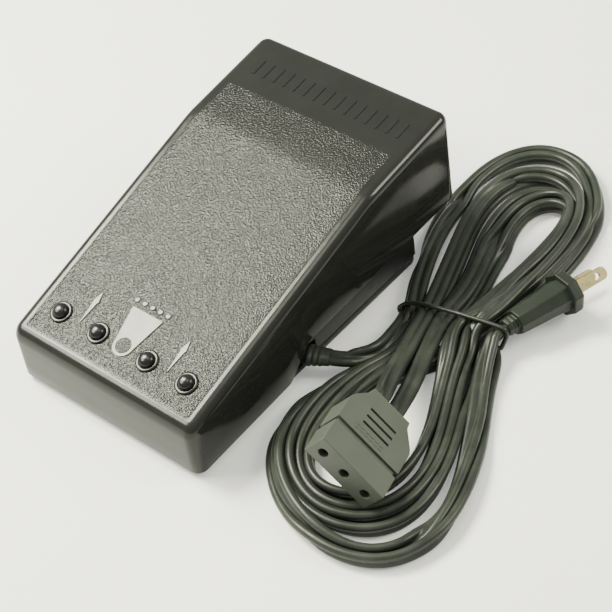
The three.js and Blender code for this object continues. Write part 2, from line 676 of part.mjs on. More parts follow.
function connectorBody() {
  const half = CONNECTOR_WIDTH / 2;
  const slab = (outline, low, high) => upright(outline, low, high, 5);
  const front = slab(roundedOutline([
    [-half, 0, 0.95], [half, 0, 0.95], [half, 13.1, 0.95], [-half, 13.1, 0.95],
  ]), -CONNECTOR_THICK, 0);
  const groove = 1.4;
  const waist = slab(
    roundedRectangle(groove - half, 9.5, half - groove, 21.4, 0.59), groove - CONNECTOR_THICK, -groove);
  const rear = slab(roundedOutline([
    [-half, 15.7, 0.95], [half, 15.7, 0.95], [half, 29.7, 8.3], [11.2, 39.2, 1.8], [10.9, 42, 0.95],
    [-10.9, 42, 0.95], [-11.2, 39.2, 1.8], [-half, 29.7, 8.3],
  ]), -CONNECTOR_THICK, 0);
  const slots = [23.3, 27.4, 31.6].map((y) => box([-7.6, y - 0.53, -1.1], [8.3, y + 0.53, 1.2]));
  const holes = [-1, 0, 1].map((place) => {
    const hole = new THREE.CylinderGeometry(2.3, 2.3, 21.4, 14);
    return solid(hole.translate(place * HOLE_PITCH, 9.5, -CONNECTOR_THICK / 2));
  });
  const body = cut(joined(front, waist, rear), ...slots, ...holes);
  return named('connector_body', placeConnector(geometryOf(body)), connectorPlastic);
}

function connectorContact(number, place) {
  const sleeve = cut(
    solid(new THREE.CylinderGeometry(1.9, 1.9, 15.4, 12)),
    solid(new THREE.CylinderGeometry(1.4, 1.4, 14.2, 12).translate(0, -1.8, 0)));
  const geometry = geometryOf(sleeve).translate(place * HOLE_PITCH, 11.9, -CONNECTOR_THICK / 2);
  return named(`connector_contact_${number}`, placeConnector(geometry), brass);
}

// The two short tails that run from the back of the connector down onto the hank.
function connectorTail(name, side, landing) {
  const [start, next] = [42.4, 48.7].map((y) => {
    const point = new THREE.BufferGeometry().setFromPoints(
      [new THREE.Vector3(side * 4.6, y, -CONNECTOR_THICK / 2)]);
    return placeConnector(point).attributes.position.array;
  });
  const tail = tubeAlong([start, next, landing], CORD_WIDTH / 2 - 0.24, CORD_THICK / 2, 6, 8);
  return named(name, tail, cordVinyl);
}

// ---------------------------------------------------------------- mains plug

const PLUG_AT = [131.8, 81.9, 12.8];
const PLUG_TURN = [3, -45, -20].map(THREE.MathUtils.degToRad);
const BLADE_PITCH = 12.7;
const BLADE_WIDTH = 6.35;
const BLADE_THICK = 1.5;
const BLADE_LENGTH = 17.5;

// Places the plug's own frame: y forwards along the blades, x from one blade to the other.
function placePlug(geometry) {
  const turn = new THREE.Matrix4().makeRotationFromEuler(new THREE.Euler(...PLUG_TURN, 'ZYX'));
  return geometry.applyMatrix4(turn).translate(...PLUG_AT);
}

// An eight-sided taper along Y, from one radius to another, flattened to a share of its width.
function octagon(fromY, toY, fromRadius, toRadius, flat) {
  const taper = new THREE.CylinderGeometry(toRadius, fromRadius, toY - fromY, 8);
  return solid(taper.rotateY(Math.PI / 8).translate(0, (fromY + toY) / 2, 0).scale(1, 1, flat));
}

function plugBody() {
  const pockets = [-1, 1].map((side) => box(
    [side * (BLADE_PITCH / 2) - 1.2, -5.9, -BLADE_WIDTH / 2 - 0.36],
    [side * (BLADE_PITCH / 2) + 1.2, 1.2, BLADE_WIDTH / 2 + 0.36]));
  const body = cut(joined(
    octagon(-5.5, 0, 14.2, 13.5, 0.78),
    octagon(-32.1, -4.8, 8.8, 11.4, 0.74),
    octagon(-36.8, -31.5, 6.2, 6.9, 0.7),
  ), ...pockets);
  return named('plug_body', placePlug(geometryOf(body)), plugPlastic);
}

function plugBlade(number, side) {
  const half = BLADE_WIDTH / 2;
  const outline = roundedOutline([
    [-5.5, -half], [BLADE_LENGTH, -half, 2.9], [BLADE_LENGTH, half, 2.9], [-5.5, half],
  ]);
  const blade = across(outline, BLADE_THICK / 2);
  const hole = crossBar(-3.6, 3.6, BLADE_LENGTH - 5.6, 0, 1.6, 14);
  const geometry = geometryOf(cut(blade, hole)).translate((side * BLADE_PITCH) / 2, 0, 0);
  return named(`plug_blade_${number}`, placePlug(geometry), brass);
}

// ---------------------------------------------------------------- the whole object

const pedal = new THREE.Group();

pedal.add(
  treadCover(),
  ...STUD_X.map((x, index) => gripStud(index + 1, x)),
  bottomPlate(),
  baseHousing(),
  ...FEET.map((place, index) => rubberFoot(index + 1, place)),
  ...PLATE_SCREWS.map((place, index) => plateScrew(index + 1, place)),
  hingePin('hinge_pin_left', -1),
  hingePin('hinge_pin_right', 1),
);

pedal.add(
  plunger(),
  wiperArm(),
  slidePotentiometer(),
  named('return_spring_left', coilSpring(-SPRING_X, SPRING_Y, 39.5, 59.5, 5.1, 1.3, 6), steel),
  named('return_spring_right', coilSpring(SPRING_X, SPRING_Y, 39.5, 59.5, 5.1, 1.3, 6), steel),
  named('plunger_spring', coilSpring(0, PLUNGER_Y, 14.6, 28.1, 4.3, 0.95, 5), steel),
);

pedal.add(
  circuitBoard(),
  ...BOARD_POSTS.map((place, index) => boardScrew(index + 1, place)),
  triac(),
  heatSink(),
  filmCapacitor(),
  chokeCoil(),
  resistor(1, 4.8),
  resistor(2, 11.9),
  terminalBlock(),
  innerWire('inner_wire_1', 42.5, -18.5, -27.9),
  innerWire('inner_wire_2', 43.9, -22.4, -33.8),
);

pedal.add(
  cordBushing(),
  pedalLead(),
  cordHank(),
  cordTie(),
  connectorBody(),
  ...[-1, 0, 1].map((place, index) => connectorContact(index + 1, place)),
  connectorTail('connector_tail_pedal', -1, [100.9, -5.9, 16.6]),
  connectorTail('connector_tail_mains', 1, [112.8, -5.9, 16.6]),
  plugBody(),
  plugBlade(1, 1),
  plugBlade(2, -1),
);

export default pedal;
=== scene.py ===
"""An electronic sewing machine pedal with its cord set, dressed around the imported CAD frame.

Metres, in the row's frame: +Z is up, +Y runs from the heel to the toe, +X is the cord's side.
"""

import json
import math

import bmesh
import bpy
import numpy as np
from mathutils import Matrix, Vector


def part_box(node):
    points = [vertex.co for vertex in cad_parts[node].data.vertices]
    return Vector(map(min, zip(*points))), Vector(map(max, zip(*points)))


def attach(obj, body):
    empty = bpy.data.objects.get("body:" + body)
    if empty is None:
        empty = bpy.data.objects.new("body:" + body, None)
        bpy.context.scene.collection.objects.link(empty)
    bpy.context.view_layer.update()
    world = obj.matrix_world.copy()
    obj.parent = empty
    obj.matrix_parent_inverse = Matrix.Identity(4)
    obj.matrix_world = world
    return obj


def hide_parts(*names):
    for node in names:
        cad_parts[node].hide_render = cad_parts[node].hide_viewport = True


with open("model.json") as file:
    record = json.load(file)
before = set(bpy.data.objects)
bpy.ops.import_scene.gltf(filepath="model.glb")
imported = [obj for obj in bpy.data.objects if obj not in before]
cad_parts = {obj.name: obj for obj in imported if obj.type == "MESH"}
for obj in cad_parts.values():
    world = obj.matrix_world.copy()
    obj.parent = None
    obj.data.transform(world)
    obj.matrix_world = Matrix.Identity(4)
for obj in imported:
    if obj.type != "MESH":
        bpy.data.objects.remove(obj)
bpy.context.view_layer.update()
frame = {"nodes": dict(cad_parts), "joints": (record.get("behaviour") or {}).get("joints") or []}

MM = 0.001

# ------------------------------------------------------------------ the frame's own sizes

COVER_LOW, COVER_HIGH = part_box("tread_cover")
COVER_HALF = COVER_HIGH.x
HEEL_Y, TOE_Y = COVER_LOW.y, COVER_HIGH.y
HEEL_TOP = 31.7 * MM       # the cover's top edge at the heel, before its corner is rounded
BEND_Y = 37.9 * MM
BEND_TOP = 69.1 * MM
TOE_TOP = 76.1 * MM
WALL = 2.9 * MM
TREAD_ANGLE = math.atan2(BEND_TOP - HEEL_TOP, BEND_Y - HEEL_Y)
HINGE = Vector(frame["joints"][0]["pos_m"])


# ------------------------------------------------------------------ camera

CAMERA_AT = Vector((0.488713, -0.423985, 0.645411))
CAMERA_ANGLES = (46.502, 45.364, -9.367)    # azimuth, elevation and roll, in degrees
CAMERA_LENS = 111.76


def photo_camera():
    """The camera stands above the heel's right-hand corner and leans a little to the left."""
    azimuth, elevation, roll = (math.radians(angle) for angle in CAMERA_ANGLES)
    back = Vector((
        math.sin(azimuth) * math.cos(elevation),
        -math.cos(azimuth) * math.cos(elevation),
        math.sin(elevation),
    ))
    level = (-back).cross(Vector((0, 0, 1))).normalized()
    upright = level.cross(-back)
    right = level * math.cos(roll) + upright * math.sin(roll)
    up = upright * math.cos(roll) - level * math.sin(roll)
    data = bpy.data.cameras.new("camera")
    data.sensor_width = 36
    data.lens = CAMERA_LENS
    data.clip_start = 0.05
    data.clip_end = 20
    camera = bpy.data.objects.new("camera", data)
    bpy.context.scene.collection.objects.link(camera)
    turn = Matrix((right, up, back)).transposed().to_4x4()
    camera.matrix_world = Matrix.Translation(CAMERA_AT) @ turn
    bpy.context.scene.camera = camera


photo_camera()


# ------------------------------------------------------------------ material building

class Nodes:
    """A material's node tree, with short calls for the nodes that the finishes share."""

    def __init__(self, name):
        self.material = bpy.data.materials.new(name)
        self.material.use_nodes = True
        self.tree = self.material.node_tree
        self.surface = self.tree.nodes["Principled BSDF"]
        self.place = self.add("ShaderNodeTexCoord").outputs["Object"]

    def add(self, kind, **settings):
        node = self.tree.nodes.new(kind)
        for key, value in settings.items():
            setattr(node, key, value)
        return node

    def link(self, source, target):
        self.tree.links.new(source, target)

    def set(self, **values):
        for key, value in values.items():
            self.surface.inputs[key.replace("_", " ")].default_value = value

    def noise(self, scale, detail=3.0, roughness=0.55, place=None):
        node = self.add("ShaderNodeTexNoise")
        node.inputs["Scale"].default_value = scale
        node.inputs["Detail"].default_value = detail
        node.inputs["Roughness"].default_value = roughness
        self.link(place or self.place, node.inputs["Vector"])
        return node.outputs["Fac"]

    def cells(self, scale, smoothness=0.6):
        node = self.add("ShaderNodeTexVoronoi", feature="SMOOTH_F1")
        node.inputs["Scale"].default_value = scale
        node.inputs["Smoothness"].default_value = smoothness
        self.link(self.place, node.inputs["Vector"])
        return node.outputs["Distance"]

    def ramp(self, source, low, high, start=0.0, end=1.0):
        node = self.add("ShaderNodeMapRange", interpolation_type="SMOOTHSTEP")
        for key, value in zip(("From Min", "From Max", "To Min", "To Max"), (low, high, start, end)):
            node.inputs[key].default_value = value
        self.link(source, node.inputs["Value"])
        return node.outputs["Result"]

    def math(self, operation, first, second):
        node = self.add("ShaderNodeMath", operation=operation)
        for socket, value in zip(node.inputs, (first, second)):
            if isinstance(value, (int, float)):
                socket.default_value = value
            else:
                self.link(value, socket)
        return node.outputs[0]

    def mix(self, factor, first, second):
        node = self.add("ShaderNodeMix", data_type="RGBA")
        self.link(factor, node.inputs["Factor"])
        for key, value in (("A", first), ("B", second)):
            socket = [s for s in node.inputs if s.name == key and s.type == "RGBA"][0]
            if isinstance(value, tuple):
                socket.default_value = (*value, 1)
            else:
                self.link(value, socket)
        return [s for s in node.outputs if s.type == "RGBA"][0]

    def axes(self):
        node = self.add("ShaderNodeSeparateXYZ")
        self.link(self.place, node.inputs[0])
        return node.outputs

    def bump(self, height, distance, strength=1.0, after=None):
        node = self.add("ShaderNodeBump")
        node.inputs["Distance"].default_value = distance
        node.inputs["Strength"].default_value = strength
        self.link(height, node.inputs["Height"])
        if after is not None:
            self.link(after, node.inputs["Normal"])
        return node.outputs["Normal"]

    def finish(self, colour=None, roughness=None, normal=None):
        for socket, value in (("Base Color", colour), ("Roughness", roughness), ("Normal", normal)):
            if value is not None:
                self.link(value, self.surface.inputs[socket])
        return self.material


def moulded(name, colour, roughness, grain=0.00004, worn=0.25, shine=0.5):
    """A moulded plastic or rubber: a faint mottle, a fine grain and a few worn patches."""
    n = Nodes(name)
    mottle = n.noise(60, 4)
    dark = tuple(c * 0.82 for c in colour)
    light = tuple(min(1, c * 1.16 + 0.002) for c in colour)
    wear = n.ramp(n.noise(180, 6, 0.7), 0.52, 0.75)
    rough = n.math("ADD", n.ramp(mottle, 0.3, 0.7, roughness * 0.9, roughness * 1.1),
                   n.math("MULTIPLY", wear, roughness * worn))
    normal = n.bump(n.noise(2600, 2), grain, 0.6)
    n.set(Specular_IOR_Level=shine)
    return n.finish(n.mix(mottle, dark, light), rough, normal)


COVER_TONES = (0.009, 0.0095, 0.0085), (0.014, 0.015, 0.0135)
COVER_SHINE = 0.22


def cover_gloss(n, across):
    """The cover's roughness where it isn't pebbled: the walls are shinier than the roof."""
    walls = n.ramp(n.math("ABSOLUTE", across, 0), 0.0545, 0.056)
    rough = n.ramp(n.noise(130, 5, 0.65), 0.35, 0.8, 0.17, 0.26)
    return n.math("SUBTRACT", rough, n.math("MULTIPLY", walls, 0.09))


def cover_finish():
    """Glossy black plastic. The tread is pebbled between smooth borders. The toe band is smooth."""
    n = Nodes("cover_black")
    x, y, z = n.axes()[:3]
    inside = n.ramp(n.math("ABSOLUTE", x, 0), 0.0512, 0.0488)
    before_toe = n.ramp(y, 0.063, 0.0608)
    after_heel = n.ramp(y, -0.0896, -0.0872)
    on_top = n.ramp(n.math("SUBTRACT", z, n.math("MULTIPLY", y, 0.12)), 0.026, 0.0275)
    area = n.math("MULTIPLY", inside, before_toe)
    area = n.math("MULTIPLY", area, n.math("MULTIPLY", after_heel, on_top))
    pebbles = n.math("ADD", n.cells(1200, 0.5), n.math("MULTIPLY", n.cells(2200, 0.4), 0.45))
    height = n.math("MULTIPLY", pebbles, area)
    fine = n.bump(n.noise(420, 4), 0.00002, 0.35)
    normal = n.bump(height, 0.00028, 0.8, fine)
    mottle = n.noise(45, 4)
    colour = n.mix(mottle, *COVER_TONES)
    rough = n.add("ShaderNodeMix", data_type="FLOAT")
    n.link(area, rough.inputs["Factor"])
    n.link(cover_gloss(n, x), rough.inputs["A"])
    rough.inputs["B"].default_value = 0.2
    n.set(Specular_IOR_Level=COVER_SHINE)
    return n.finish(colour, rough.outputs["Result"], normal)


def cord_finish():
    """Dark grey-green vinyl, softly glossy, with a dusty bloom here and there."""
    n = Nodes("cord_vinyl")
    bloom = n.ramp(n.noise(38, 5, 0.6), 0.35, 0.72)
    colour = n.mix(bloom, (0.015, 0.0175, 0.0145), (0.031, 0.036, 0.0295))
    rough = n.ramp(n.noise(210, 4), 0.3, 0.7, 0.28, 0.4)
    n.set(Specular_IOR_Level=0.21)
    return n.finish(colour, rough, n.bump(n.noise(900, 3), 0.00005, 0.5))


def plated(name, colour, roughness):
    """A plated or bare metal, with fine scratches along one way and a little tarnish."""
    n = Nodes(name)
    stretch = n.add("ShaderNodeMapping")
    stretch.inputs["Scale"].default_value = (40, 1, 12)
    n.link(n.place, stretch.inputs["Vector"])
    scratches = n.noise(90, 3, 0.6, stretch.outputs["Vector"])
    tarnish = n.ramp(n.noise(260, 4), 0.45, 0.8)
    n.set(Metallic=1.0)
    dull = tuple(c * 0.72 for c in colour)
    rough = n.ramp(scratches, 0.3, 0.7, roughness * 0.8, roughness * 1.3)
    return n.finish(n.mix(tarnish, colour, dull), rough, n.bump(scratches, 0.00002, 0.4))


def board_finish():
    """A tan paper laminate with its copper tracks printed through it."""
    n = Nodes("board_laminate")
    wander = n.math("MULTIPLY", n.noise(24, 1), 0.012)
    weave = n.math("PINGPONG", n.math("ADD", n.axes()[0], wander), 0.004)
    across = n.ramp(weave, 0.0012, 0.0014)
    speckle = n.noise(900, 3)
    paper = n.mix(speckle, (0.26, 0.15, 0.06), (0.36, 0.22, 0.1))
    return n.finish(n.mix(across, (0.16, 0.13, 0.03), paper), n.ramp(speckle, 0.3, 0.7, 0.45, 0.6),
                    n.bump(across, 0.00003, 0.5))


def wound_finish(name, low, high, scale):
    """Turns of enamelled wire, or a resistor's bands: rings that shade from one tone to another."""
    n = Nodes(name)
    wave = n.add("ShaderNodeTexWave", wave_type="RINGS")
    wave.inputs["Scale"].default_value = scale
    n.link(n.place, wave.inputs["Vector"])
    height = wave.outputs["Fac"]
    rough = n.ramp(height, 0, 1, 0.3, 0.5)
    return n.finish(n.mix(height, low, high), rough, n.bump(height, 0.0003, 0.6))


def smooth_finish():
    """The cover's plastic where it isn't pebbled."""
    n = Nodes("cover_smooth")
    mottle = n.noise(45, 4)
    n.set(Specular_IOR_Level=COVER_SHINE)
    return n.finish(n.mix(mottle, *COVER_TONES), cover_gloss(n, n.axes()[0]),
                    n.bump(n.noise(420, 4), 0.00002, 0.35))


SMOOTH_COVER = smooth_finish()
FINISH = {
    "cover_plastic": cover_finish(),
    "base_plastic": moulded("base_black", (0.008, 0.0083, 0.008), 0.42, shine=0.3),
    "stud_rubber": moulded("stud_black", (0.006, 0.006, 0.006), 0.24, 0.00002, shine=0.26),
    "foot_rubber": moulded("foot_black", (0.018, 0.018, 0.018), 0.8, 0.00012),
    "cord_vinyl": cord_finish(),
    "connector_plastic": moulded("connector_grey", (0.048, 0.057, 0.045), 0.42, 0.00006, 0.4, 0.33),
    "plug_plastic": moulded("plug_grey_green", (0.010, 0.0135, 0.0095), 0.38, 0.00006, 0.4, 0.2),
    "steel": plated("zinc_plate", (0.62, 0.62, 0.6), 0.28),
    "brass": plated("blade_brass", (0.32, 0.28, 0.14), 0.34),
    "aluminium": plated("sink_aluminium", (0.72, 0.73, 0.74), 0.38),
    "board_resin": board_finish(),
    "part_black": moulded("part_black", (0.012, 0.012, 0.013), 0.45),
    "film_yellow": moulded("film_yellow", (0.52, 0.36, 0.06), 0.3, 0.00003),
    "ferrite": wound_finish("choke_winding", (0.05, 0.03, 0.02), (0.33, 0.13, 0.05), 260),
    "ceramic": wound_finish("resistor_lacquer", (0.3, 0.24, 0.15), (0.46, 0.38, 0.26), 330),
}


def dress(piece, slot, body):
    piece.data.materials.clear()
    piece.data.materials.append(FINISH[slot])
    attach(piece, body)
    return piece


# ------------------------------------------------------------------ mesh building

def from_mesh(name, bm, smooth_angle=35):
    """A finished bmesh as an object, smooth where its faces meet at less than smooth_angle."""
    bmesh.ops.remove_doubles(bm, verts=bm.verts, dist=1e-7)
    bmesh.ops.recalc_face_normals(bm, faces=bm.faces)
    mesh = bpy.data.meshes.new(name)
    bm.to_mesh(mesh)
    bm.free()
    mesh.polygons.foreach_set("use_smooth", [True] * len(mesh.polygons))
    mesh.set_sharp_from_angle(angle=math.radians(smooth_angle))
    piece = bpy.data.objects.new(name, mesh)
    bpy.context.scene.collection.objects.link(piece)
    return piece


def band(bm, low, high):
    """Faces between two closed rings of equally many vertices."""
    for i in range(len(low)):
        j = (i + 1) % len(low)
        bm.faces.new((low[i], low[j], high[j], high[i]))


def skin(bm, rings, closed_ends=True):
    """Joins rings of equally many points, each to the next, and caps the first and the last."""
    rows = [[bm.verts.new(point) for point in ring] for ring in rings]
    for low, high in zip(rows, rows[1:]):
        band(bm, low, high)
    if closed_ends:
        bm.faces.new(list(reversed(rows[0])))
        bm.faces.new(rows[-1])
    return rows


def lathe(bm, profile, place, segments=48, flat=1.0):
    """Turns a profile of [radius, height] pairs round Z, and puts it in its place."""
    rings = []
    for radius, height in profile:
        ring = []
        for k in range(segments):
            turn = 2 * math.pi * k / segments
            ring.append(place @ Vector((radius * math.cos(turn), radius * flat * math.sin(turn), height)))
        rings.append(ring)
    skin(bm, rings)


def rounded_box(bm, low, high, place, radius, segments=3):
    """A box between two corners, with every edge rounded."""
    made = bmesh.ops.create_cube(bm, size=1)["verts"]
    size = [h - l for l, h in zip(low, high)]
    middle = Vector([(h + l) / 2 for l, h in zip(low, high)])
    for vert in made:
        vert.co = middle + Vector([c * s for c, s in zip(vert.co, size)])
    edges = list({edge for vert in made for edge in vert.link_edges})
    result = bmesh.ops.bevel(bm, geom=edges, offset=radius, segments=segments, affect="EDGES", profile=0.5)
    verts = {v for f in result["faces"] for v in f.verts}
    for vert in verts:
        vert.co = place @ vert.co


def extruded(bm, outline, low, high, place, radius=0.0, segments=2):
    """An outline of [x, y] pairs raised from low to high, with its top and bottom rims rounded."""
    floor = [bm.verts.new(Vector((x, y, low))) for x, y in outline]
    roof = [bm.verts.new(Vector((x, y, high))) for x, y in outline]
    bottom, top = bm.faces.new(list(reversed(floor))), bm.faces.new(roof)
    band(bm, floor, roof)
    verts = set(floor + roof)
    if radius:
        rims = list(set(bottom.edges) | set(top.edges))
        result = bmesh.ops.bevel(
            bm, geom=rims, offset=radius, segments=segments, affect="EDGES", profile=0.5)
        verts = {v for f in result["faces"] for v in f.verts} | {v for v in verts if v.is_valid}
    for vert in verts:
        vert.co = place @ vert.co


def rounded_outline(corners, steps=5):
    """Points along an outline of [x, y, radius] corners, each rounded by its radius."""
    points = []
    count = len(corners)
    for index, (x, y, radius) in enumerate(corners):
        corner = Vector((x, y))
        before = (Vector(corners[index - 1][:2]) - corner).normalized()
        after = (Vector(corners[(index + 1) % count][:2]) - corner).normalized()
        if radius <= 0:
            points.append(corner)
            continue
        half = math.acos(max(-1, min(1, before.dot(after)))) / 2
        reach = radius / math.tan(half)
        centre = corner + (before + after).normalized() * (radius / math.sin(half))
        start = corner + before * reach - centre
        swing = math.pi - 2 * half
        sign = -1 if before.x * after.y - before.y * after.x > 0 else 1
        for k in range(steps + 1):
            turn = sign * swing * k / steps
            points.append(centre + Vector((
                start.x * math.cos(turn) - start.y * math.sin(turn),
                start.x * math.sin(turn) + start.y * math.cos(turn))))
    return [(p.x, p.y) for p in points]


def bevelled(piece, width, segments, angle):
    """Rounds a piece's edges with a modifier that leaves its mesh as it is."""
    bevel = piece.modifiers.new("edges", "BEVEL")
    bevel.width = width
    bevel.segments = segments
    bevel.limit_method = "ANGLE"
    bevel.angle_limit = math.radians(angle)
    piece.data.polygons.foreach_set("use_smooth", [True] * len(piece.data.polygons))
    return bevel


def soften(node, width):
    """Rounds the edges of a carried-over CAD node."""
    piece = frame["nodes"][node]
    weld = piece.modifiers.new("weld", "WELD")
    weld.merge_threshold = 1e-6
    bevelled(piece, width, 2, 32).harden_normals = True
    piece.data.set_sharp_from_angle(angle=math.radians(32))
    return piece


def round_edges(piece, width, segments=3, angle=30):
    """Rounds the edges of a piece made here."""
    bevelled(piece, width, segments, angle)
    piece.modifiers.new("normals", "WEIGHTED_NORMAL").keep_sharp = True
    return piece


# Stands a flat outline on its side: its x runs along Y, its y along Z, and its height along X.
ON_ITS_SIDE = Matrix(((0, 0, 1, 0), (1, 0, 0, 0), (0, 1, 0, 0), (0, 0, 0, 1)))


def in_metres(corners):
    return [tuple(value * MM for value in corner) for corner in corners]


# ------------------------------------------------------------------ where the connector and plug lie

def turning(angles):
    """The rotation that turns by these degrees about X, then Y, then Z."""
    x, y, z = np.radians(angles)
    about_x = np.array([[1, 0, 0], [0, np.cos(x), -np.sin(x)], [0, np.sin(x), np.cos(x)]])
    about_y = np.array([[np.cos(y), 0, np.sin(y)], [0, 1, 0], [-np.sin(y), 0, np.cos(y)]])
    about_z = np.array([[np.cos(z), -np.sin(z), 0], [np.sin(z), np.cos(z), 0], [0, 0, 1]])
    return about_z @ about_y @ about_x


# Their own frames, as the CAD lays them: x across, y along the cord's way in or the blades.
CONNECTOR_AT, CONNECTOR_TURN = np.array([126.4, -68.4, 31.6]) * MM, turning([-10.7, 43.6, 8])
CONNECTOR_HALF = 18.4       # of its width, in millimetres
CONNECTOR_THICK = 13.5
PLUG_AT, PLUG_TURN = np.array([131.8, 81.9, 12.8]) * MM, turning([3, -45, -20])


def on_connector(x, y, z):
    return CONNECTOR_TURN @ (np.array([x, y, z]) * MM) + CONNECTOR_AT


def on_plug(x, y, z):
    return PLUG_TURN @ (np.array([x, y, z]) * MM) + PLUG_AT


# ------------------------------------------------------------------ how the cords are wound

CORD_WIDTH = 8.6 * MM
RIB = CORD_WIDTH / 2        # a flat cord is two round ribs, side by side
STEP = 4.3 * MM             # between the points of a cord while it settles
LAYER = 4.5 * MM            # one turn of the hank lies this far above the last

# The bushing in the base's side wall, and which way it points in the floor's plane.
BUSHING_AT = (53.2, -15.9, 9.7)
BUSHING_TURN = math.radians(25)

# The pedal's lead from its bushing to the hank, in millimetres.
PEDAL_LEAD = [
    (63.67, -11.02, 9.7), (66.5, -9.9, 9.8), (71.6, -7.2, 10), (76.2, -2.6, 10.3), (79, 4.2, 10.3),
    (79.6, 13.1, 9.6), (78.3, 22, 8), (75.5, 29.2, 6),
]

# The outermost, middle and innermost half turns of the hank above its waist, and below it. Each
# runs clockwise as seen from above, so that a turn anywhere between them is a mix of two.
UPPER_TURNS = [
    [(72, 38), (64, 52), (55, 72), (47.5, 93), (43.5, 117), (45, 138), (51, 154), (61, 163), (74, 166),
     (88, 161), (100, 151), (109, 138), (114, 121), (116, 104), (115, 84), (113, 62), (112, 42)],
    [(83, 40), (80, 58), (73, 79), (66, 97), (62, 112), (62, 127), (67, 138), (77, 144), (88, 143),
     (98, 136), (105, 124), (109, 108), (111, 90), (110, 66), (109, 42)],
    [(95, 42), (93, 60), (88, 79), (83, 97), (80, 113), (81, 126), (87, 133), (95, 134), (102, 128),
     (106, 115), (106, 98), (103, 80), (101, 61), (101, 43)],
]
LOWER_TURNS = [
    [(119, 40), (127, 25), (139, 4), (153, -22), (162, -47), (163, -69), (155, -85), (138, -93),
     (115, -92), (98, -85), (83, -75), (72, -63), (68, -49), (67, -34), (70, -18), (75, 0), (77, 18),
     (75, 36)],
    [(107, 42), (114, 22), (124, 2), (134, -17), (141, -38), (142, -57), (134, -71), (118, -78),
     (100, -76), (85, -66), (77, -51), (75, -36), (77, -20), (81, -4), (84, 16), (82, 38)],
    [(97, 42), (103, 24), (112, 6), (121, -14), (127, -34), (126, -52), (117, -64), (102, -67),
     (90, -60), (84, -47), (84, -31), (87, -14), (91, 4), (93, 22), (93, 40)],
]
TURN_POINTS = 16


def curve_through(points, step):
    """A smooth curve through points, sampled at an even step."""
    p = np.vstack([2 * points[0] - points[1], points, 2 * points[-1] - points[-2]])
    share = np.linspace(0, 1, 24, endpoint=False)[:, None]
    pieces = []
    for a, b, c, d in zip(p[:-3], p[1:-2], p[2:-1], p[3:]):
        knots = np.cumsum([0] + [max(np.linalg.norm(v), 1e-9) ** 0.5 for v in (b - a, c - b, d - c)])
        t = knots[1] + share * (knots[2] - knots[1])
        def mix(u, v, i, j):
            return ((knots[j] - t) * u + (t - knots[i]) * v) / (knots[j] - knots[i])
        first, second, third = mix(a, b, 0, 1), mix(b, c, 1, 2), mix(c, d, 2, 3)
        pieces.append(mix(mix(first, second, 0, 2), mix(second, third, 1, 3), 1, 2))
    line = np.vstack(pieces + [p[-2][None]])
    along = np.concatenate([[0], np.cumsum(np.linalg.norm(np.diff(line, axis=0), axis=1))])
    count = max(2, round(along[-1] / step) + 1)
    at = np.linspace(0, along[-1], count)
    return np.stack([np.interp(at, along, values) for values in line.T], axis=1)


def evenly(outline):
    """An outline in millimetres as TURN_POINTS points in metres, evenly along it."""
    points = np.zeros((len(outline), 3))
    points[:, :2] = np.array(outline) * MM
    line = curve_through(points, 0.001)
    at = np.linspace(0, len(line) - 1, TURN_POINTS)
    return np.stack([np.interp(at, range(len(line)), values) for values in line.T], axis=1)


def half_turn(outlines, share, level):
    """A half turn that lies at a share of the way from the outermost outline to the innermost."""
    place = share * (len(outlines) - 1)
    outer = min(int(place), len(outlines) - 2)
    points = (outer + 1 - place) * evenly(outlines[outer]) + (place - outer) * evenly(outlines[outer + 1])
    points[:, 2] = RIB / 2 + LAYER * level
    return points


def upper(share, level):
    return half_turn(UPPER_TURNS, share, level)


def lower(share, level):
    return half_turn(LOWER_TURNS, share, level)


def pedal_route():
    """From the bushing up the left of the hank, and round it to the connector. The first turn
    changes hands below the others, where a hank starts."""
    tail = [(81, 44, 25), (86, 26, 25), (93, 6, 24), (99, -11, 23)]
    return [
        ("lead", np.array(PEDAL_LEAD) * MM),
        ("turn", upper(0.0, 0.6)),
        ("turn", lower(0.03, 0)[::-1][4:]),
        ("turn", upper(0.42, 2)[::-1]),
        ("turn", lower(0.5, 2)[::-1]),
        ("turn", upper(0.37, 4)[::-1][:-1]),
        ("lead", np.array(tail) * MM),
        ("lead", np.array([on_connector(-4.6, 52, -6.6), on_connector(-4.6, 41, -6.75)])),
    ]


def mains_route():
    """From the plug down the right of the hank, and round it to the connector."""
    tail = [(89, 46, 25), (94, 28, 25), (101, 8, 23)]
    return [
        ("lead", np.array([on_plug(0, -35.5, 0), on_plug(0, -44, -0.6)])),
        ("turn", lower(0.12, 1.2)[1:]),
        ("turn", upper(0.07, 1.6)),
        ("turn", lower(0.36, 1)[::-1][4:]),
        ("turn", upper(0.72, 2)[::-1]),
        ("turn", lower(0.65, 3)[::-1]),
        ("turn", upper(1.0, 3)[::-1]),
        ("turn", lower(0.9, 4)[::-1]),
        ("turn", upper(0.85, 5)[::-1][:-1]),
        ("lead", np.array(tail) * MM),
        ("lead", np.array([on_connector(4.6, 54, -6.6), on_connector(4.6, 41, -6.75)])),
    ]


def unit(vectors):
    return vectors / np.linalg.norm(vectors, axis=-1, keepdims=True)


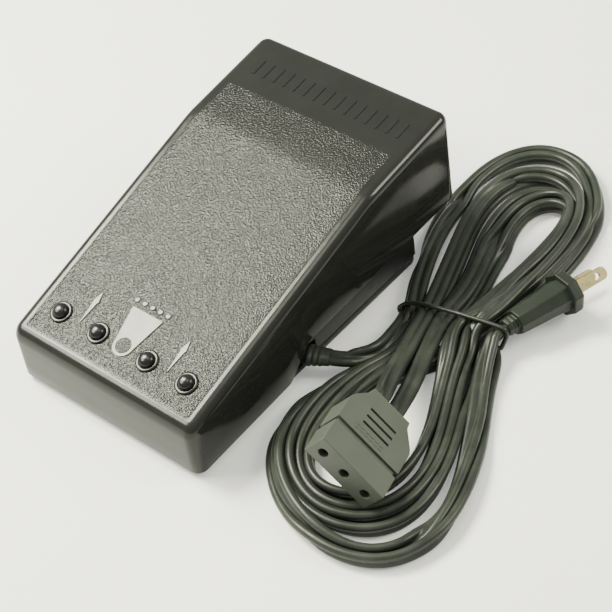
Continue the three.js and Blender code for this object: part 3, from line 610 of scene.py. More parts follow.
def two_ribs(route, first_across, last_across):
    """The centres of a cord's two ribs. It lies flat in the waist and turns on edge in the bends,
    and its ends lie across the way that their fittings do."""
    points = np.vstack([part for kind, part in route])
    edge = np.concatenate([
        np.sin(np.pi * np.linspace(0, 1, len(part))) ** 0.7 if kind == "turn" else np.zeros(len(part))
        for kind, part in route])
    line = curve_through(points, STEP)
    chord = np.concatenate([[0], np.cumsum(np.linalg.norm(np.diff(points, axis=0), axis=1))])
    tilt = np.radians(80) * np.interp(np.linspace(0, chord[-1], len(line)), chord, edge)
    along = unit(np.gradient(line, axis=0))
    side = unit(np.cross(along, [0.0, 0.0, 1.0]))
    across = np.cos(tilt)[:, None] * side + np.sin(tilt)[:, None] * np.cross(side, along)
    reach = 11
    for order, wanted in ((range(reach), first_across), (range(-1, -reach - 1, -1), last_across)):
        for count, index in enumerate(order):
            share = 1 - count / reach
            hint = wanted if np.dot(wanted, across[index]) > 0 else -np.array(wanted)
            turned = across[index] * (1 - share) + hint * share
            turned -= np.dot(turned, along[index]) * along[index]
            across[index] = turned / np.linalg.norm(turned)
    return np.stack([line - across * RIB / 2, line + across * RIB / 2], axis=1)


# ------------------------------------------------------------------ the hank settles

ROUNDS = 300
GRAVITY = 0.2 * MM          # how far a free point drops in a round
HOLD = 0.12                 # how strongly a point is kept over the place where it was laid
LEAST_BEND = 17 * MM
TIE_FROM, TIE_TO = np.array([66.6, 36.2]) * MM, np.array([129.0, 43.9]) * MM
TIE_SPAN = np.linalg.norm(TIE_TO - TIE_FROM)
TIE_WAY = (TIE_TO - TIE_FROM) / TIE_SPAN
TIE_ACROSS = np.array([-TIE_WAY[1], TIE_WAY[0]])
TIE_TOP = 13.2 * MM


def pairs_apart(starts, gap, rib_a, rib_b, every):
    """Pairs of points a gap apart along each cord, as lists in which no point appears twice."""
    groups = []
    for phase in range(every):
        found = []
        for start, count in starts:
            first = np.arange(count - gap)
            first = first[first % every == phase]
            found.append(np.stack([start + 2 * first + rib_a, start + 2 * (first + gap) + rib_b], 1))
        groups.append(np.vstack(found))
    return groups


def cord_rules(starts):
    """What keeps a cord a cord: (pairs, distance, strength, whether it is only a least distance)."""
    rules = []
    for rib in (0, 1):
        rules += [(pairs, STEP, 1.0, False) for pairs in pairs_apart(starts, 1, rib, rib, 2)]
    for rib_a, rib_b in ((0, 1), (1, 0)):
        slant = math.hypot(STEP, RIB)
        rules += [(pairs, slant, 0.5, False) for pairs in pairs_apart(starts, 1, rib_a, rib_b, 2)]
    rules += [(pairs, RIB, 1.0, False) for pairs in pairs_apart(starts, 0, 0, 1, 1)]
    gap = 4
    least = 2 * LEAST_BEND * math.sin(gap * STEP / (2 * LEAST_BEND))
    for rib in (0, 1):
        rules += [(pairs, least, 0.35, True) for pairs in pairs_apart(starts, gap, rib, rib, 2 * gap)]
    return rules


def keep_rules(points, free, rules):
    for pairs, distance, strength, least_only in rules:
        a, b = pairs[:, 0], pairs[:, 1]
        between = points[b] - points[a]
        length = np.linalg.norm(between, axis=1) + 1e-12
        error = np.minimum(length - distance, 0) if least_only else length - distance
        shared = np.maximum(free[a] + free[b], 1)
        move = (strength * error / length / shared)[:, None] * between
        points[a] += move * free[a][:, None]
        points[b] -= move * free[b][:, None]


def near_pairs(points, cord, place, reach):
    """Pairs of rib points within reach of each other, apart from neighbours on one cord."""
    squares = (points ** 2).sum(1)
    apart = squares[:, None] + squares[None, :] - 2 * points @ points.T
    first, second = np.nonzero(np.triu(apart < reach ** 2, 1))
    neighbours = (cord[first] == cord[second]) & (np.abs(place[first] - place[second]) <= 2)
    return first[~neighbours], second[~neighbours]


def push_apart(points, free, near, size):
    first, second = near
    between = points[second] - points[first]
    length = np.linalg.norm(between, axis=1) + 1e-12
    hit = length < size
    first, second, between, length = first[hit], second[hit], between[hit], length[hit]
    move = (0.5 * (size - length) / length)[:, None] * between
    count = len(points)
    contacts = np.bincount(first, minlength=count) + np.bincount(second, minlength=count)
    share = free / np.sqrt(np.maximum(contacts, 1))
    for axis in range(3):
        pushed = np.bincount(second, move[:, axis], count) - np.bincount(first, move[:, axis], count)
        points[:, axis] += pushed * share


def clear_of_solids(points, free):
    """Keeps the cords out of the floor, the pedal, the connector above them and the plug."""
    half = RIB / 2
    moves = free > 0
    x, y, z = points.T
    at_cover = z > 20 * MM      # and below that, at the base
    wall = np.where(at_cover, 57.4 * MM, 55 * MM) + half
    inside = moves & (y < 98 * MM) & (x < wall) & (at_cover | (y < 70 * MM))
    points[inside, 0] = wall[inside]
    wide, long, deep = 18.6 * MM, 41 * MM, 13.6 * MM     # the connector: half its width, and its sizes
    across, along, above = ((points - CONNECTOR_AT) @ CONNECTOR_TURN).T
    under = moves & (np.abs(across) < wide + half) & (along > -half) & (along < long)
    under &= (above > -deep - half) & (above < half)
    drop = above[under] + deep + half
    points[under, 2] -= np.minimum(drop, 1.5 * MM)
    tail, front = on_plug(0, -36, 0), on_plug(0, -2, 0)
    share = np.clip((points - tail) @ (front - tail) / np.dot(front - tail, front - tail), 0, 1)
    away = points - (tail + share[:, None] * (front - tail))
    length = np.linalg.norm(away, axis=1) + 1e-9
    girth = (6.2 + 4.6 * share) * MM + half
    touching = moves & (length < girth)
    points[touching] += away[touching] * ((girth / length - 1)[touching] * 0.5)[:, None]
    points[moves & (points[:, 2] < half), 2] = half


def tie_waist(points, free):
    """Gathers what runs under the tie between its two ends, and presses it down."""
    offset = points[:, :2] - TIE_FROM
    along = offset @ TIE_WAY
    across = offset @ TIE_ACROSS
    held = (np.abs(across) < 9 * MM) & (along > -25 * MM) & (along < 90 * MM) & (free > 0)
    push = (np.clip(along, 3 * MM, TIE_SPAN - 3 * MM) - along) * held * 0.6
    points[:, :2] += push[:, None] * TIE_WAY
    high = held & (points[:, 2] > TIE_TOP)
    points[high, 2] -= 0.5 * (points[high, 2] - TIE_TOP)


def ease(points, starts, free, strength):
    """Moves each point towards the middle of its neighbours, which takes out kinks."""
    for start, count in starts:
        cord = points[start:start + 2 * count].reshape(-1, 2, 3)
        loose = free[start:start + 2 * count].reshape(-1, 2)[1:-1, :, None]
        cord[1:-1] += strength * (0.5 * (cord[:-2] + cord[2:]) - cord[1:-1]) * loose


def settle(cords):
    """Lets the wound cords drop, spread and bear on one another, and returns their ribs."""
    points = np.vstack([cord.reshape(-1, 3) for cord in cords])
    laid = points.copy()
    starts, place, owner = [], [], []
    for number, cord in enumerate(cords):
        starts.append((2 * sum(len(c) for c in cords[:number]), len(cord)))
        place.append(np.repeat(np.arange(len(cord)), 2))
        owner.append(np.full(2 * len(cord), number))
    place, owner = np.concatenate(place), np.concatenate(owner)
    free = np.ones(len(points))
    for start, count in starts:
        free[start:start + 6] = 0
        free[start + 2 * count - 6:start + 2 * count] = 0
    rules = cord_rules(starts)
    for number in range(ROUNDS):
        last = number > 0.85 * ROUNDS
        points[:, 2] -= GRAVITY * free * (0.4 if last else 1)
        if number % 8 == 0:
            near = near_pairs(points, owner, place, RIB + 3.2 * MM)
        for repeat in range(2):
            points[:, :2] += (laid[:, :2] - points[:, :2]) * HOLD * free[:, None]
            ease(points, starts, free, 0.45 if last else 0.3)
            keep_rules(points, free, rules)
            push_apart(points, free, near, RIB)
            clear_of_solids(points, free)
            tie_waist(points, free)
    ease(points, starts, free, 0.5)
    ease(points, starts, free, 0.5)
    return [points[start:start + 2 * count].reshape(-1, 2, 3) for start, count in starts]


# ------------------------------------------------------------------ cords

def twin_section():
    """A flat cord's outline, across and up: most of a circle for each rib, with a groove between."""
    radius = RIB / 2 * 0.99
    outline = []
    for side in (1, -1):
        for angle in np.radians(np.linspace(-148, 148, 12)):
            outline.append((side * (RIB / 2 + radius * math.cos(angle)), side * radius * math.sin(angle)))
    return outline


def cord_piece(name, ribs):
    """Skins a flat cord along its two ribs, and returns the piece and the line it follows."""
    both = curve_through(ribs.reshape(-1, 6), 2.4 * MM)
    first, second = both[:, :3], both[:, 3:]
    line = (first + second) / 2
    along = unit(np.gradient(line, axis=0))
    across = second - first
    across = unit(across - (across * along).sum(1)[:, None] * along)
    above = np.cross(along, across)
    section = twin_section()
    rings = [[Vector(centre + u * sideways + v * upwards) for u, v in section]
             for centre, sideways, upwards in zip(line, across, above)]
    bm = bmesh.new()
    skin(bm, rings)
    return from_mesh(name, bm, 60), line


BUSHING_WAY = np.array([math.cos(BUSHING_TURN), math.sin(BUSHING_TURN), 0.0])
wound = [
    two_ribs(pedal_route(), np.cross(BUSHING_WAY, [0, 0, 1.0]), CONNECTOR_TURN[:, 0]),
    two_ribs(mains_route(), PLUG_TURN[:, 0], CONNECTOR_TURN[:, 0]),
]
settled = settle(wound)
pedal_cord, pedal_line = cord_piece("pedal_cord", settled[0])
mains_cord, mains_line = cord_piece("mains_cord", settled[1])
for piece, nodes in ((pedal_cord, ("pedal_lead", "cord_hank", "connector_tail_pedal")),
                     (mains_cord, ("connector_tail_mains",))):
    dress(piece, "cord_vinyl", "base")
    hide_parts(*nodes)


def tie_piece():
    """A round strap, drawn tight over everything that passes between its two ends."""
    radius = 1.05 * MM
    points = np.vstack([cord.reshape(-1, 3) for cord in settled])
    offset = points[:, :2] - TIE_FROM
    along = offset @ TIE_WAY
    near = np.abs(offset @ TIE_ACROSS) < 3 * MM
    near &= (along > -12 * MM) & (along < TIE_SPAN + 12 * MM)
    held = np.stack([along[near], points[near, 2]], axis=1)
    reach = RIB / 2 + radius * 0.9
    loop = []
    for turn in np.linspace(0, 2 * np.pi, 72, endpoint=False):
        aim = np.array([math.cos(turn), math.sin(turn)])
        loop.append(held[np.argmax(held @ aim)] + reach * aim)
    loop = np.array(loop)
    loop[:, 1] = np.maximum(loop[:, 1], radius)
    for repeat in range(3):
        loop = 0.5 * loop + 0.25 * (np.roll(loop, 1, 0) + np.roll(loop, -1, 0))
    centres = np.stack([
        TIE_FROM[0] + TIE_WAY[0] * loop[:, 0],
        TIE_FROM[1] + TIE_WAY[1] * loop[:, 0],
        np.maximum(loop[:, 1], radius)], axis=1)
    ahead = unit(np.roll(centres, -1, 0) - np.roll(centres, 1, 0))
    sideways = np.array([*TIE_ACROSS, 0.0])
    outwards = np.cross(ahead, sideways)
    bm = bmesh.new()
    rings = []
    for centre, out in zip(centres, outwards):
        turns = np.linspace(0, 2 * np.pi, 12, endpoint=False)
        rings.append([Vector(centre + radius * (math.cos(t) * out + math.sin(t) * sideways)) for t in turns])
    skin(bm, rings + rings[:1], closed_ends=False)
    return from_mesh("cord_strap", bm, 60)


tie = dress(tie_piece(), "cord_vinyl", "base")
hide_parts("cord_tie")


# ------------------------------------------------------------------ tread cover

def softened(value_at, y, reach):
    """A bent line's height, with each bend eased over a reach to either side."""
    places = y + np.linspace(-reach, reach, 9)
    return float(np.mean([value_at(place) for place in places]))


def roof(y):
    def sharp(place):
        if place < BEND_Y:
            return HEEL_TOP + (place - HEEL_Y) * math.tan(TREAD_ANGLE)
        return BEND_TOP + (TOE_TOP - BEND_TOP) * (place - BEND_Y) / (TOE_Y - BEND_Y)
    return softened(sharp, y, 3 * MM)


SKIRT = np.array([[-0.12, 1.7], [-0.031, 5.8], [-0.0166, 20.7], [0.12, 25.3]]) * [1, MM]


def skirt(y):
    return softened(lambda place: np.interp(place, SKIRT[:, 0], SKIRT[:, 1]), y, 1.8 * MM)


CORNER = 5.5 * MM
SIDE_STEPS = [-88.5, -84, -76, -68, -60, -52, -44, -38, -34, -32.5, -31, -29.5, -28, -26, -24, -22,
              -20, -18.5, -17, -15.5, -14, -10, -2, 6, 14, 22, 28, 32, 34, 35.5, 37, 38.5, 40, 41.5,
              44, 50, 58, 66, 74, 82, 87, 90.5]
CORNER_STEPS = 12
END_X = [-50, -36, -24, -12, 0, 12, 24, 36, 50]


def cover_ring(inset, height_at):
    """One level of the cover, seen from above: a rounded rectangle that starts at the heel's left
    end and runs clockwise up the left side, so that its two sides match point for point."""
    radius = max(CORNER - inset, 0.8 * MM)
    half, heel, toe = COVER_HALF - inset, HEEL_Y + inset, TOE_Y - inset
    quarter = [math.pi / 2 * k / CORNER_STEPS for k in range(CORNER_STEPS + 1)]
    turn = half - radius
    left = [(-turn - radius * math.sin(a), heel + radius - radius * math.cos(a)) for a in quarter]
    left += [(-half, y * MM) for y in SIDE_STEPS]
    left += [(-turn - radius * math.cos(a), toe - radius + radius * math.sin(a)) for a in quarter]
    right = [(-x, y) for x, y in reversed(left)]
    ends = [x * MM * 0.98 for x in END_X]
    ring = left + [(x, toe) for x in ends] + right + [(-x, heel) for x in ends]
    return [Vector((x, y, height_at(y))) for x, y in ring]


def edge_radius(y):
    """The rounding along the top edge is tightest down the sides and widest at the heel."""
    heel_share = max(0.0, 1 - (y - HEEL_Y) / (9 * MM))
    toe_share = max(0.0, 1 - (TOE_Y - y) / (9 * MM))
    return (4.3 + 2.2 * min(1, heel_share) ** 2 + 1.0 * min(1, toe_share) ** 2) * MM


def cover_shell():
    """The cover's hood: walls, a rounded edge all round, the roof, and the same again inside."""
    bm = bmesh.new()
    sides = len(cover_ring(0, roof))

    def level(inset, height_at):
        return [bm.verts.new(point) for point in cover_ring(inset, height_at)]

    def close(ring):
        """Fills a level with strips that run from each point on its left to the one on its right."""
        reach = (sides - 2 * len(END_X)) // 2
        left = ring[:reach]
        right = ring[reach + len(END_X):2 * reach + len(END_X)][::-1]
        for k in range(reach - 1):
            bm.faces.new((left[k], left[k + 1], right[k + 1], right[k]))
        bm.faces.new([left[-1]] + ring[reach:reach + len(END_X)] + [right[-1]])
        bm.faces.new([left[0], right[0]] + ring[2 * reach + len(END_X):])

    lip = 0.7 * MM
    outer = [level(lip * (1 - math.sin(a)), lambda y, a=a: skirt(y) + lip * (1 - math.cos(a)))
             for a in np.linspace(0, math.pi / 2, 4)]
    for share in (0.33, 0.66):
        outer.append(level(0, lambda y, s=share: skirt(y) * (1 - s) + (roof(y) - edge_radius(y)) * s))
    for angle in np.linspace(0, math.pi / 2, 10):
        inset = 4.6 * MM * (1 - math.cos(angle))
        outer.append(level(inset, lambda y, a=angle: roof(y) - edge_radius(y) * (1 - math.sin(a))))
    inner = [level(WALL, lambda y: skirt(y)),
             level(WALL, lambda y: roof(y) - WALL - 2.4 * MM),
             level(WALL + 0.8 * MM, lambda y: roof(y) - WALL - 0.7 * MM),
             level(WALL + 2.4 * MM, lambda y: roof(y) - WALL)]
    for rings in (outer, inner, [outer[0], inner[0]]):
        for low, high in zip(rings, rings[1:]):
            band(bm, low, high)
    close(outer[-1])
    close(inner[-1])
    return from_mesh("cover_shell", bm, 28)


def tread_place(x, along):
    """A frame that stands on the tread: x across, y up the slope from the heel edge, z out of it."""
    up_slope = Vector((0, math.cos(TREAD_ANGLE), math.sin(TREAD_ANGLE))) * (along * MM)
    at = Vector((x * MM, HEEL_Y, HEEL_TOP)) + up_slope
    return Matrix.Translation(at) @ Matrix.Rotation(TREAD_ANGLE, 4, "X")


RELIEF = 0.5 * MM
SUNK = 0.6 * MM


def smooth_marks():
    """The smooth raised marks: a sole with its five toes, two darts, and a row of bars at the toe."""
    bm = bmesh.new()
    flat = tread_place(0, 0)
    heel = [(5.4 * math.sin(a), 19.9 - 5.4 * math.cos(a), 0) for a in np.linspace(-1.7, 1.7, 25)]
    sole = in_metres(heel + [(9.4, 38.4, 0.7), (-9.4, 38.4, 0.7)])
    extruded(bm, rounded_outline(sole), -SUNK, RELIEF, flat, 0.16 * MM)
    toe = [(1.45 * MM, -SUNK), (1.45 * MM, RELIEF * 0.5), (1.2 * MM, RELIEF * 0.9), (0.7 * MM, RELIEF)]
    for x in (-9.6, -4.8, 0, 4.8, 9.6):
        lathe(bm, toe, tread_place(x, 41.9), 20)
    for x in (-27.3, 27.3):
        half = [(0.25, 19.4, 0), (1.0, 31.4, 0.2), (1.8, 31.0, 0.25), (0.2, 36.8, 0.1)]
        dart = in_metres(half + [(-a, b, bend) for a, b, bend in reversed(half)])
        extruded(bm, rounded_outline(dart, 3), -SUNK, RELIEF, tread_place(x, 0), 0.12 * MM)
    slope = math.atan2(TOE_TOP - BEND_TOP, TOE_Y - BEND_Y)
    for number in range(15):
        y = BEND_Y + 38 * MM
        at = Matrix.Translation(Vector(((number - 7) * 6.3 * MM, y, roof(y))))
        at = at @ Matrix.Rotation(slope, 4, "X")
        bar = in_metres([(-1.3, -5, 0.6), (1.3, -5, 0.6), (1.3, 5, 0.6), (-1.3, 5, 0.6)])
        extruded(bm, rounded_outline(bar), -SUNK, 0.32 * MM, at, 0.12 * MM)
    return from_mesh("cover_marks", bm, 17)


def heel_mark():
    """The pebbled disc inside the sole's rounded end."""
    bm = bmesh.new()
    lathe(bm, [(4.0 * MM, 0), (4.0 * MM, RELIEF + 0.1 * MM), (3.8 * MM, RELIEF + 0.28 * MM),
               (1.5 * MM, RELIEF + 0.3 * MM)], tread_place(0, 19.9), 36)
    return from_mesh("cover_heel_mark", bm, 28)


def hanging_tube(bm, radius, low, x, y, segments=24):
    """A round boss that hangs from the roof, down to a height."""
    rim = 0.3 * MM
    rings = []
    for width, height in ((radius - rim, low), (radius, low + rim), (radius, None)):
        ring = []
        for k in range(segments):
            turn = 2 * math.pi * k / segments
            at = Vector((x + width * math.cos(turn), y + width * math.sin(turn), 0))
            at.z = roof(at.y) - 1.5 * MM if height is None else height
            ring.append(at)
        rings.append(ring)
    skin(bm, rings)


def cover_fittings():
    """What hangs from the cover's roof: hinge lugs, hooks, the press boss, spring cups and ribs."""
    bm = bmesh.new()
    still = Matrix.Identity(4)
    edge = 0.4 * MM
    for side in (-1, 1):
        x = side * 47.7 * MM
        reach = 5.3 * MM
        eye = [(reach * math.cos(a), reach * math.sin(a)) for a in np.linspace(math.pi, 2 * math.pi, 17)]
        top = roof(HINGE.y) - HINGE.z - 1.5 * MM
        outline = [(reach, top), (-reach, top)] + eye
        turn = Matrix.Translation(Vector((x, HINGE.y, HINGE.z))) @ ON_ITS_SIDE
        bore = [(2.64 * MM * math.cos(a), 2.64 * MM * math.sin(a))
                for a in np.linspace(0, 2 * math.pi, 25)[:-1]]
        plate_with_bore(bm, outline, bore, -2.4 * MM, 2.4 * MM, turn)
        for inner, outer, height in ((28.5, 30.9, roof(59 * MM) - MM), (25.9, 29.1, 36.1 * MM)):
            near, far = sorted((side * inner * MM, side * outer * MM))
            rounded_box(bm, (near, 55.8 * MM, 31.5 * MM), (far, 63 * MM, height), still, edge)
        y = 33.2 * MM
        hanging_tube(bm, 7.7 * MM, 59.9 * MM, side * y, y)
        hanging_tube(bm, 3.1 * MM, 56.3 * MM, side * y, y)
        for start in range(-59, 80, 6):
            low, high = start * MM, (start + 6.4) * MM
            height = roof((low + high) / 2)
            rounded_box(bm, (side * 45 * MM - 0.95 * MM, low, height - 7 * MM),
                        (side * 45 * MM + 0.95 * MM, high, height - 2 * MM), still, 0.25 * MM, 2)
    hanging_tube(bm, 5.9 * MM, 54.6 * MM, 0, 23.8 * MM)
    return from_mesh("cover_fittings", bm, 30)


def plate_with_bore(bm, outline, bore, low, high, place):
    """A plate with an outline and one round bore, as one wall outside and one inside."""
    def rim(points, height):
        return [bm.verts.new(place @ Vector((x, y, height))) for x, y in points]
    walls = []
    for height in (low, high):
        outside, inside = rim(outline, height), rim(bore, height)
        edges = [bm.edges.new((ring[i], ring[(i + 1) % len(ring)])) for ring in (outside, inside)
                 for i in range(len(ring))]
        bmesh.ops.triangle_fill(bm, use_beauty=True, edges=edges)
        walls.append((outside, inside))
    for low_ring, high_ring in zip(*walls):
        band(bm, low_ring, high_ring)


shell = dress(cover_shell(), "cover_plastic", "tread")
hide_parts("tread_cover")
marks = dress(smooth_marks(), "cover_plastic", "tread")
marks.data.materials[0] = SMOOTH_COVER
dress(heel_mark(), "cover_plastic", "tread")
fittings = dress(cover_fittings(), "cover_plastic", "tread")
fittings.data.materials[0] = SMOOTH_COVER


def grip_stud(number, x):
    """A rubber stud: a flat glossy collar with a domed button standing in it."""
    bm = bmesh.new()
    profile = [(2.4, -3.4), (2.4, -0.4), (5.3, -0.4), (5.62, 0.15), (5.55, 0.6), (5.25, 0.86), (4.3, 0.9),
               (4.05, 0.78), (3.95, 0.95), (3.92, 1.5), (3.75, 2.2), (3.35, 2.85), (2.75, 3.4), (2.0, 3.77),
               (1.1, 3.98), (0.3, 4.03)]
    lathe(bm, in_metres(profile), tread_place(x, 19.2), 48)
    stud = dress(from_mesh(f"stud_{number}", bm, 40), "stud_rubber", "tread")
    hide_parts(f"grip_stud_{number}")


for number, x in enumerate((-39.2, -15.4, 15.4, 39.2), 1):
    grip_stud(number, x)


# ------------------------------------------------------------------ bushing

def cord_bushing():
    """The moulded strain relief, which thins towards the cord in soft rings."""
    profile = [(4.9, -9.7), (5.2, -9.2), (5.2, 0.8), (5.4, 1.1), (5.9, 1.3),
               (6.1, 1.7), (6.1, 2.7), (5.9, 3.1), (5.3, 3.6)]
    for number in range(2):
        start = 4.0 + 2.6 * number
        size = 5.75 - 0.25 * number
        profile += [(size - 0.4, start), (size - 0.1, start + 0.4), (size, start + 0.8),
                    (size, start + 1.3), (size - 0.1, start + 1.6), (size - 0.4, start + 2.0)]
    profile += [(4.98, 9.4), (4.95, 10.6), (4.85, 11.8)]
    turn = Matrix.Rotation(BUSHING_TURN, 4, "Z") @ Matrix.Rotation(math.pi / 2, 4, "Y")
    at = Matrix.Translation(Vector(BUSHING_AT) * MM)
    squeeze = Matrix.Diagonal((0.62, 1, 1, 1))
    bm = bmesh.new()
    lathe(bm, in_metres(profile), at @ turn @ squeeze, 40)
    piece = dress(from_mesh("strain_relief", bm, 50), "cord_vinyl", "base")
    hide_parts("cord_bushing")
    return piece


bushing = cord_bushing()


# ------------------------------------------------------------------ connector

def as_matrix(at, turn):
    place = Matrix([list(row) for row in turn]).to_4x4()
    return Matrix.Translation(Vector(at)) @ place


ON_CONNECTOR = as_matrix(CONNECTOR_AT, CONNECTOR_TURN)
ON_PLUG = as_matrix(PLUG_AT, PLUG_TURN)


def carve(piece, cutters):
    """Cuts the cutters out of a piece, and throws them away."""
    for cutter in cutters:
        tool = piece.modifiers.new("cut", "BOOLEAN")
        tool.operation = "DIFFERENCE"
        tool.solver = "EXACT"
        tool.object = cutter
    bpy.context.view_layer.update()
    shaped = bpy.data.meshes.new_from_object(piece.evaluated_get(bpy.context.evaluated_depsgraph_get()))
    piece.modifiers.clear()
    piece.data = shaped
    for cutter in cutters:
        bpy.data.objects.remove(cutter)
    return piece


def block(name, corners, low, high, place):
    bm = bmesh.new()
    extruded(bm, rounded_outline(in_metres(corners)), low * MM, high * MM, place)
    return from_mesh(name, bm, 30)


def rod(name, radius, low, high, place):
    bm = bmesh.new()
    lathe(bm, in_metres([(radius, low), (radius, high)]), place, 32)
    return from_mesh(name, bm, 30)


def connector():
    half, thick, pitch = CONNECTOR_HALF, CONNECTOR_THICK, 12.6
    lengthways = Matrix.Rotation(-math.pi / 2, 4, "X")
    front = block("connector_front", [
        (-half, 0, 0.5), (half, 0, 0.5), (half, 13.1, 0.5), (-half, 13.1, 0.5)], -thick, 0, ON_CONNECTOR)
    holes = [rod("hole", 2.3, -1, 12, ON_CONNECTOR @ Matrix.Translation(
        Vector((place * pitch, 0, -thick / 2)) * MM) @ lengthways) for place in (-1, 0, 1)]
    pieces = [round_edges(carve(front, holes), 0.45 * MM)]
    waist = block("connector_waist", [(1.4 - half, 12, 0), (half - 1.4, 12, 0), (half - 1.4, 17, 0),
                                      (1.4 - half, 17, 0)], 1.4 - thick, -1.4, ON_CONNECTOR)
    pieces.append(round_edges(waist, 0.2 * MM))
    rear = block("connector_rear", [
        (-half, 15.7, 0.4), (half, 15.7, 0.4), (half, 29.7, 8.3), (11.4, 38.6, 2.4), (10.9, 42, 0.4),
        (-10.9, 42, 0.4), (-11.4, 38.6, 2.4), (-half, 29.7, 8.3)], -thick, 0, ON_CONNECTOR)
    slots = [block("slot", [
        (-7.6, y - 0.6, 0.5), (8.3, y - 0.6, 0.5), (8.3, y + 0.6, 0.5), (-7.6, y + 0.6, 0.5)],
        -1.3, 2, ON_CONNECTOR) for y in (23.3, 27.4, 31.6)]
    pieces.append(round_edges(carve(rear, slots), 0.4 * MM))
    bm = bmesh.new()
    for x in (-9.5, -6.7, -3.9, -1.1, 1.7, 4.5):
        for y in (17.8, 19.6):
            low, high = in_metres([(x, y, -0.5), (x + 1.7, y + 0.7, 0.25)])
            rounded_box(bm, low, high, ON_CONNECTOR, 0.12 * MM, 2)
    pieces.append(from_mesh("connector_bars", bm, 30))
    bm = bmesh.new()
    for side in (-1, 1):
        collar = [(4.7, 0), (4.7, 2.6), (4.4, 3.2), (3.9, 3.4)]
        at = ON_CONNECTOR @ Matrix.Translation(Vector((side * 4.6, 40.5, -thick / 2)) * MM) @ lengthways
        lathe(bm, in_metres(collar), at, 36, 0.62)
    pieces.append(from_mesh("connector_collars", bm, 40))
    for piece in pieces:
        dress(piece, "connector_plastic", "base")
    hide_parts("connector_body")
    return pieces


connector_pieces = connector()


# ------------------------------------------------------------------ plug

def octagon_ring(y, radius, flat):
    turns = [math.pi / 8 + math.pi / 4 * k for k in range(8)]
    return [ON_PLUG @ (Vector((radius * math.cos(t), y, radius * flat * math.sin(t))) * MM) for t in turns]


# A two-blade plug's standard blades, in millimetres.
BLADE_LONG = 17.5
BLADE_WIDE = 6.35
BLADE_HOLE = 11.9       # from the plug's face
BLADES_APART = 12.7


def plug():
    half = BLADE_WIDE / 2
    bm = bmesh.new()
    skin(bm, [octagon_ring(-5.5, 14.2, 0.78), octagon_ring(-1.4, 14.0, 0.78), octagon_ring(0, 13.3, 0.78)])
    flange = round_edges(from_mesh("plug_flange", bm, 20), 0.5 * MM, 3, 15)
    bm = bmesh.new()
    rings = ((-32.1, 8.8), (-24, 9.5), (-14, 10.2), (-4.8, 11.4))
    skin(bm, [octagon_ring(y, radius, 0.74) for y, radius in rings])
    body = round_edges(from_mesh("plug_shell", bm, 20), 0.6 * MM, 3, 15)
    bm = bmesh.new()
    rings = ((-37.4, 5.6), (-36.6, 6.1), (-35.4, 6.3), (-35.0, 5.8),
             (-34.4, 6.5), (-33.2, 6.7), (-32.8, 6.1), (-31, 7.4))
    skin(bm, [octagon_ring(y, radius, 0.72) for y, radius in rings])
    neck = round_edges(from_mesh("plug_neck", bm, 20), 0.3 * MM, 2, 20)
    pieces = [flange, body, neck]
    for piece in pieces:
        dress(piece, "plug_plastic", "base")
    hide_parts("plug_body")
    for number, side in ((1, 1), (2, -1)):
        turn = ON_PLUG @ Matrix.Translation(Vector((side * BLADES_APART / 2, 0, 0)) * MM) @ ON_ITS_SIDE
        corners = [(-5.5, -half, 0), (BLADE_LONG, -half, 2.6), (BLADE_LONG, half, 2.6), (-5.5, half, 0)]
        blade = block(f"blade_{number}", corners, -0.75, 0.75, turn)
        hole = rod("hole", 1.6, -3, 3, turn @ Matrix.Translation(Vector((BLADE_HOLE, 0, 0)) * MM))
        blade = round_edges(carve(blade, [hole]), 0.25 * MM)
        dress(blade, "brass", "base")
        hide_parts(f"plug_blade_{number}")
        pieces.append(blade)
    return pieces


plug_pieces = plug()

contacts = [f"connector_contact_{number}" for number in (1, 2, 3)]


# ------------------------------------------------------------------ the CAD's own nodes

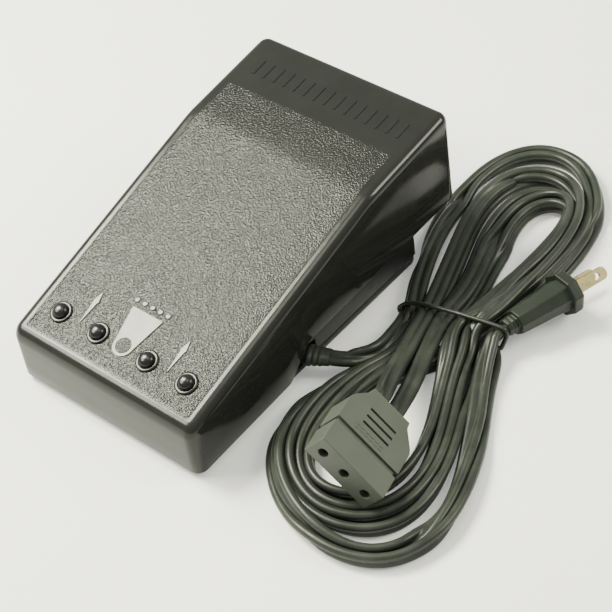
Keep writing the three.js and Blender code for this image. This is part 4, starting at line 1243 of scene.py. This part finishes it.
# Which of the CAD's nodes get which material.
SLOTS = {
    "base_plastic": ("bottom_plate", "base_housing"),
    "foot_rubber": tuple(f"rubber_foot_{n}" for n in range(1, 5)),
    "steel": (
        *(f"{place}_screw_{n}" for place in ("plate", "board") for n in range(1, 5)),
        *(f"{what}_{side}" for what in ("hinge_pin", "return_spring") for side in ("left", "right")),
        "plunger_spring"),
    "part_black": (
        "plunger", "slide_potentiometer", "triac", "terminal_block", "inner_wire_1", "inner_wire_2"),
    "brass": ("wiper_arm", *contacts),
    "aluminium": ("heat_sink",),
    "board_resin": ("circuit_board",),
    "film_yellow": ("film_capacitor",),
    "ferrite": ("choke_coil",),
    "ceramic": ("resistor_1", "resistor_2"),
}
for slot_name, names in SLOTS.items():
    for name in names:
        node = soften(name, 0.5 * MM if slot_name == "base_plastic" else 0.15 * MM)
        node.data.materials.clear()
        node.data.materials.append(FINISH[slot_name])


# ------------------------------------------------------------------ floor and light

def floor():
    bm = bmesh.new()
    bmesh.ops.create_grid(bm, x_segments=1, y_segments=1, size=3)
    piece = from_mesh("floor", bm)
    n = Nodes("paper_white")
    shade = n.noise(9, 3)
    n.set(Emission_Strength=0.22, Specular_IOR_Level=0.2)
    n.surface.inputs["Emission Color"].default_value = (1, 1, 1, 1)
    n.finish(n.mix(shade, (0.7, 0.7, 0.69), (0.74, 0.74, 0.73)), n.ramp(shade, 0.3, 0.7, 0.6, 0.75))
    piece.data.materials.append(n.material)


def area_light(name, at, aim, size, power):
    data = bpy.data.lights.new(name, "AREA")
    data.shape = "RECTANGLE"
    data.size, data.size_y = size
    data.energy = power
    data.color = (1, 1, 0.8)
    lamp = bpy.data.objects.new(name, data)
    bpy.context.scene.collection.objects.link(lamp)
    lamp.location = at
    lamp.rotation_euler = (Vector(aim) - Vector(at)).to_track_quat("-Z", "Y").to_euler()


def studio():
    world = bpy.data.worlds.new("studio")
    bpy.context.scene.world = world
    world.use_nodes = True
    background = world.node_tree.nodes["Background"]
    background.inputs["Color"].default_value = (1, 1, 0.97, 1)
    background.inputs["Strength"].default_value = 0.75
    area_light("over_heel", (-0.63, -0.08, 0.94), (0, -0.06, 0.04), (0.28, 0.42), 36)
    area_light("before_heel", (-0.6, -0.42, 0.8), (0, -0.09, 0.03), (0.5, 0.34), 17)
    area_light("over_side", (0.08, 0.0, 1.05), (0.05, 0, 0.05), (0.2, 0.5), 3)
    area_light("beyond_toe", (0.85, 0.64, 0.82), (0.05, 0.05, 0.05), (0.5, 0.5), 15)


floor()
studio()
